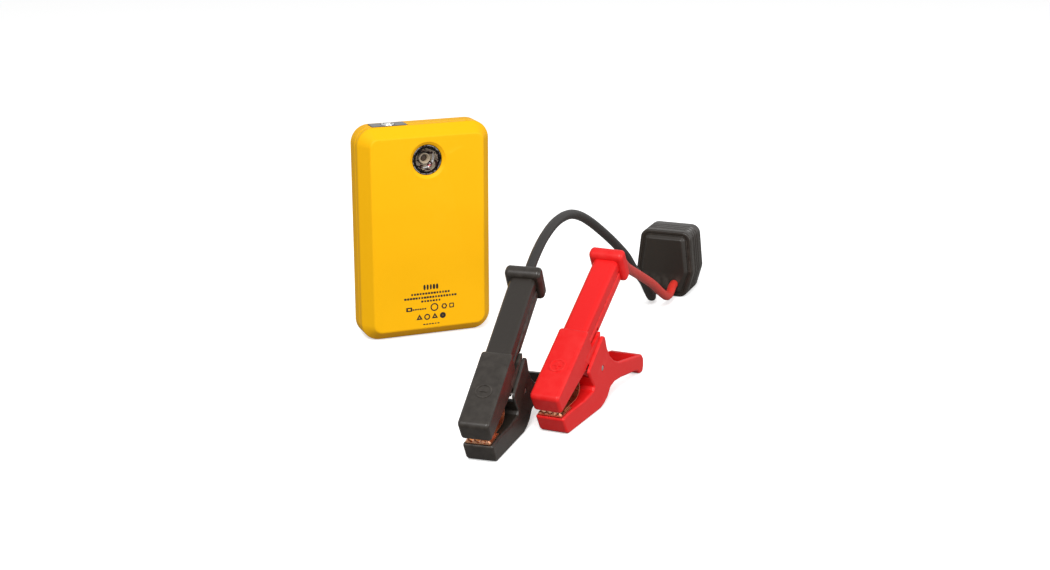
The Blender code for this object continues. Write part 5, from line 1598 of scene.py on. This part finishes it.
# ---------------------------------------------------------------- plug block
@dataclass
class PlugBlock:
    """The block that both leads end in: framed end, ribbed body and tapered nose."""

    at: Point = (171.0, 13.8)
    heading: float = 43.0
    half: tuple[float, float, float] = (16.4, 19.2, 14.6)
    tall: float = 44.0
    waist: float = 17.0
    corner_r: float = 6.0
    waist_r: float = 8.0
    nose_r: float = 3.0
    cap_t: float = 5.0
    pillow: float = 2.4
    body_l: float = 18.5
    taper_l: float = 16.5
    nose: Point = (13.0, 8.0)
    nose_z: float = 17.0
    wall: float = 1.8
    rib: float = 0.9
    rib_count: int = 3
    rib_first: float = 1.2
    rib_pitch: float = 4.0
    holes: tuple[Point, Point] = ((-8.4, 9.4), (7.2, 9.0))
    place: Matrix = field(init=False)

    def __post_init__(self) -> None:
        """Work out where the block's own axes lie."""
        self.place = (Matrix.Translation((*self.at, 0))
                      @ Matrix.Rotation(-math.radians(self.heading), 4, "Z"))

    def ring(self, y: float, inset: float = 0.0) -> list[Spot]:
        """The block's section: narrow top, wide waist, narrower foot."""
        top, waist, foot = (h - inset for h in self.half)
        corners = [(top, self.tall - inset), (-top, self.tall - inset), (-waist, self.waist),
                   (-foot, inset), (foot, inset), (waist, self.waist)]
        tight, wide = max(self.corner_r - inset, 1.2), max(self.waist_r - inset, 2.0)
        return [(x, y, z) for x, z in soft_outline(corners, [tight, tight, wide] * 2, 9)]

    def nose_ring(self, y: float, inset: float = 0.0) -> list[Spot]:
        """The nose's section, on the same plan as the block's."""
        w, h = self.nose[0] - inset, self.nose[1] - inset
        tight = max(self.nose_r - inset, 0.6)
        corners = [(w, h), (-w, h), (-w, 0), (-w, -h), (w, -h), (w, 0)]
        return [(x, y, self.nose_z + z)
                for x, z in soft_outline(corners, [tight, tight, 1.0] * 2, 9)]

    def rings(self, way: Sequence[Point], radii: Sequence[float]) -> list[list[Spot]]:
        """Rings of the block along a path of (y, inset) whose corners are rounded."""
        return [self.ring(y, inset) for y, inset in soft_outline(way, radii, 4, closed=False)]

    def cap(self) -> None:
        """The end that the leads go into: a frame round a raised pillow."""
        way = [(-self.pillow + 0.1, 7.0), (-self.pillow + 0.1, 5.2), (-0.5, 3.4), (0.35, 3.1),
               (0.35, 2.4), (0.0, 2.1), (0.0, 0.4), (1.2, 0.0), (self.cap_t, 0.0)]
        cap = Piece("block_end", loft(self.rings(way, [0, 1.3, 0.8, 0.2, 0.2, 0.3, 0.9, 0.6, 0])),
                    self.place)
        for x, z in self.holes:
            cap.cut(turned([(-self.pillow - 2, LEAD_R + GAP), (self.cap_t + 1, LEAD_R + GAP)],
                           (x, 0, z), (0, 1, 0), 40))
        cap.settle().show(BLACK, Body.LEAD_SET, "black_moulding", "plug_cap")

    def body(self) -> None:
        """Ribbed block that tapers to the nose, hollow from the end's side."""
        start = self.cap_t + GAP
        end, nose = start + self.body_l, start + self.body_l + self.taper_l
        way = [(start, 0.5), (start + 0.4, 0.0)]
        radii = [0.0, 0.2]
        for i in range(self.rib_count):
            y = start + self.rib_first + i * self.rib_pitch
            way += [(y, 0.0), (y + 0.5, self.rib), (y + 1.4, self.rib), (y + 1.9, 0.0)]
            radii += [0.2, 0.15, 0.15, 0.2]
        way += [(end, 0.0), (end + 1.0, 0.8)]
        radii += [0.5, 0.0]
        inner = self.wall + 0.4
        rings = self.rings(way, radii)
        rings += [self.nose_ring(nose - 4.5), self.nose_ring(nose - 0.6),
                  self.nose_ring(nose - 0.15, 0.2), self.nose_ring(nose, 0.6),
                  self.nose_ring(nose, inner), self.nose_ring(nose - 5.0, inner),
                  self.ring(end - 1, self.wall + self.rib), self.ring(start, self.wall + self.rib)]
        Piece("block_body", loft(rings, closed=True), self.place).settle().show(
            BLACK, Body.LEAD_SET, "black_moulding", "plug_body")

    def build(self) -> None:
        """Build and dress the block."""
        self.cap()
        self.body()
        dress_node(BLACK, "plug_insert", "plug_relay")
        dress_node(BRASS, "plug_contact_negative", "plug_contact_positive")
        dress_node(BOARD, "plug_board")


# ---------------------------------------------------------------- leads
@dataclass
class Lead:
    """One lead, from a clamp's crimp over and down to the table and into the block.

    Args:
        clamp: the clamp that it leaves.
        block: the block that it ends in.
        hole: which of the block's holes it takes.
        finish: its jacket.
        route: its own points between clamp and block, in millimetres.
    """

    clamp: SpringClamp
    block: PlugBlock
    hole: int
    finish: Finish
    route: tuple[Spot, ...]
    crimp: float = 90.5
    inside: float = 2.0
    spacing: float = 4.5

    def points(self) -> list[Vector]:
        """The whole centreline."""
        up = self.clamp.lug_w
        start = [self.clamp.place @ Vector((0, u, up))
                 for u in (self.crimp + GAP, self.clamp.length + 1.0)]
        x, z = self.block.holes[self.hole]
        last = [self.block.place @ Vector((x, y, z))
                for y in (-self.block.pillow - 2.5, 1.0, self.block.cap_t + self.inside)]
        return smooth_route([*start, *self.route, *last], self.spacing)

    def build(self, with_pieces: Sequence[str]) -> None:
        """Args:
            with_pieces: the pieces at its far end; not used.
        """
        name = f"{self.clamp.colour}_cable"
        data = bpy.data.curves.new(name, "CURVE")
        data.dimensions = "3D"
        data.bevel_depth = LEAD_R * MM
        data.bevel_resolution = 7
        data.use_fill_caps = True
        points = [p * MM for p in self.points()]
        spline = data.splines.new("POLY")
        spline.points.add(len(points) - 1)
        for slot, point in zip(spline.points, points):
            slot.co = (*point, 1.0)
        spline.use_smooth = True
        data.materials.append(self.finish.material())
        made = placed(name, data)
        register(made, Body.LEAD_SET, f"{self.clamp.colour}_rubber", f"{self.clamp.colour}_lead")


# ---------------------------------------------------------------- studio
@dataclass(frozen=True)
class Studio:
    """Pale floor, soft lights and the camera."""

    camera_at: Spot = (-0.3113, -0.9413, 0.3185)
    camera_turn: float = 21.89
    camera_down: float = 16.28
    lens: float = 57.94
    aimed_at: Spot = (0.05, -0.05, 0.05)
    sky: float = 0.34            # what the sky gives the object
    mirrored: float = 0.4        # more of it in reflections
    backdrop: float = 1.05       # what the camera sees of it
    floor_glow: float = 0.55     # the floor's own light, for the camera alone
    sensor: float = 36.0

    def floor(self) -> None:
        """A wide pale floor that gives back less light than it shows."""
        mesh = bmesh.new()
        bmesh.ops.create_grid(mesh, x_segments=1, y_segments=1, size=6.0)
        bmesh.ops.translate(mesh, vec=(0, 0, -0.0003), verts=mesh.verts)
        made = mesh_object("floor", mesh)
        finish = bpy.data.materials.new("floor_paper")
        finish.use_nodes = True
        bench = Bench(finish.node_tree)
        shader = finish.node_tree.nodes["Principled BSDF"]
        shader.inputs["Roughness"].default_value = 0.9
        shader.inputs["Specular IOR Level"].default_value = 0.0
        path = bench.add("ShaderNodeLightPath")
        colour = bench.blend(path.outputs["Is Camera Ray"], (0.34, 0.33, 0.32, 1.0),
                             (0.93, 0.93, 0.93, 1.0))
        bench.feed(colour, shader, "Base Color")
        shader.inputs["Emission Color"].default_value = (1.0, 1.0, 1.0, 1.0)
        glow = bench.multiply(path.outputs["Is Camera Ray"], self.floor_glow)
        bench.feed(glow, shader, "Emission Strength")
        made.data.materials.append(finish)

    def light(self, name: str, at: Sequence[float], size: float, power: float) -> None:
        """One square area light, turned towards the middle of the set."""
        data = bpy.data.lights.new(name, "AREA")
        data.shape = "SQUARE"
        data.size = size
        data.energy = power
        made = placed(name, data)
        made.location = at
        aim = Vector(self.aimed_at) - Vector(at)
        made.rotation_euler = aim.to_track_quat("-Z", "Y").to_euler()

    def build(self) -> None:
        """Floor, lights, sky and camera."""
        self.floor()
        self.light("key", (-0.72, -1.38, 1.45), 0.8, 36.0)
        self.light("fill", (1.2, -1.45, 0.65), 0.9, 15.0)
        world = bpy.data.worlds.new("sky")
        bpy.context.scene.world = world
        world.use_nodes = True
        sky = world.node_tree.nodes["Background"]
        sky.inputs["Color"].default_value = (1.0, 1.0, 1.0, 1.0)
        bench = Bench(world.node_tree)
        path = bench.add("ShaderNodeLightPath")
        seen = bench.ramp(path.outputs["Is Camera Ray"], 0.0, 1.0, self.sky, self.backdrop)
        shone = bench.multiply(path.outputs["Is Glossy Ray"], self.mirrored)
        bench.feed(bench.plus(seen, shone), sky, "Strength")
        data = bpy.data.cameras.new("camera")
        data.lens = self.lens
        data.sensor_width = self.sensor
        camera = placed("camera", data)
        camera.location = self.camera_at
        camera.rotation_euler = (math.radians(90 - self.camera_down), 0.0,
                                 -math.radians(self.camera_turn))
        bpy.context.scene.camera = camera
        bpy.context.scene.view_settings.view_transform = "Standard"


BLACK_ROUTE = ((16.6, -137.2, 79.0), (27.0, -124.0, 85.0), (39.3, -109.0, 88.8),
               (50.1, -97.2, 89.8), (60.6, -86.3, 88.2), (71.3, -75.5, 83.5),
               (81.8, -65.7, 76.8), (92.5, -56.0, 68.8), (102.9, -47.2, 60.4),
               (112.9, -38.3, 51.8), (122.6, -29.8, 42.6), (131.6, -21.0, 32.0),
               (142.6, -13.6, 20.0), (150.2, -6.0, 9.6), (156.5, 2.5, 3.8), (159.6, 9.2, 5.6))
RED_ROUTE = ((69.0, -127.2, 73.6), (74.2, -119.6, 71.4), (81.6, -108.4, 65.0),
             (92.0, -93.0, 56.0), (103.5, -76.6, 48.0), (121.0, -54.6, 36.4),
             (139.8, -32.0, 23.6), (153.0, -17.4, 13.0), (161.8, -7.8, 6.6), (167.4, -1.2, 5.6))


def main() -> None:
    """Build the studio, then each sub-assembly in order."""
    logging.basicConfig(level=logging.INFO, format="%(name)s: %(message)s")
    Studio().build()
    block = PlugBlock()
    black = SpringClamp("black", (-40.9, -210.4), 38.2, BLACK, Body.BLACK_JAW,
                        Polarity.NEGATIVE)
    red = SpringClamp("red", (7.4, -188.0), 45.5, RED, Body.RED_JAW, Polarity.POSITIVE)
    block.build()
    at_block = ("block_end", "block_body")
    Lead(black, block, 0, BLACK_RUBBER, BLACK_ROUTE).build(at_block)
    Lead(red, block, 1, RED_RUBBER, RED_ROUTE).build(at_block)
    black.build()
    red.build()
    Pack().build()


if __name__ == "__main__":
    main()
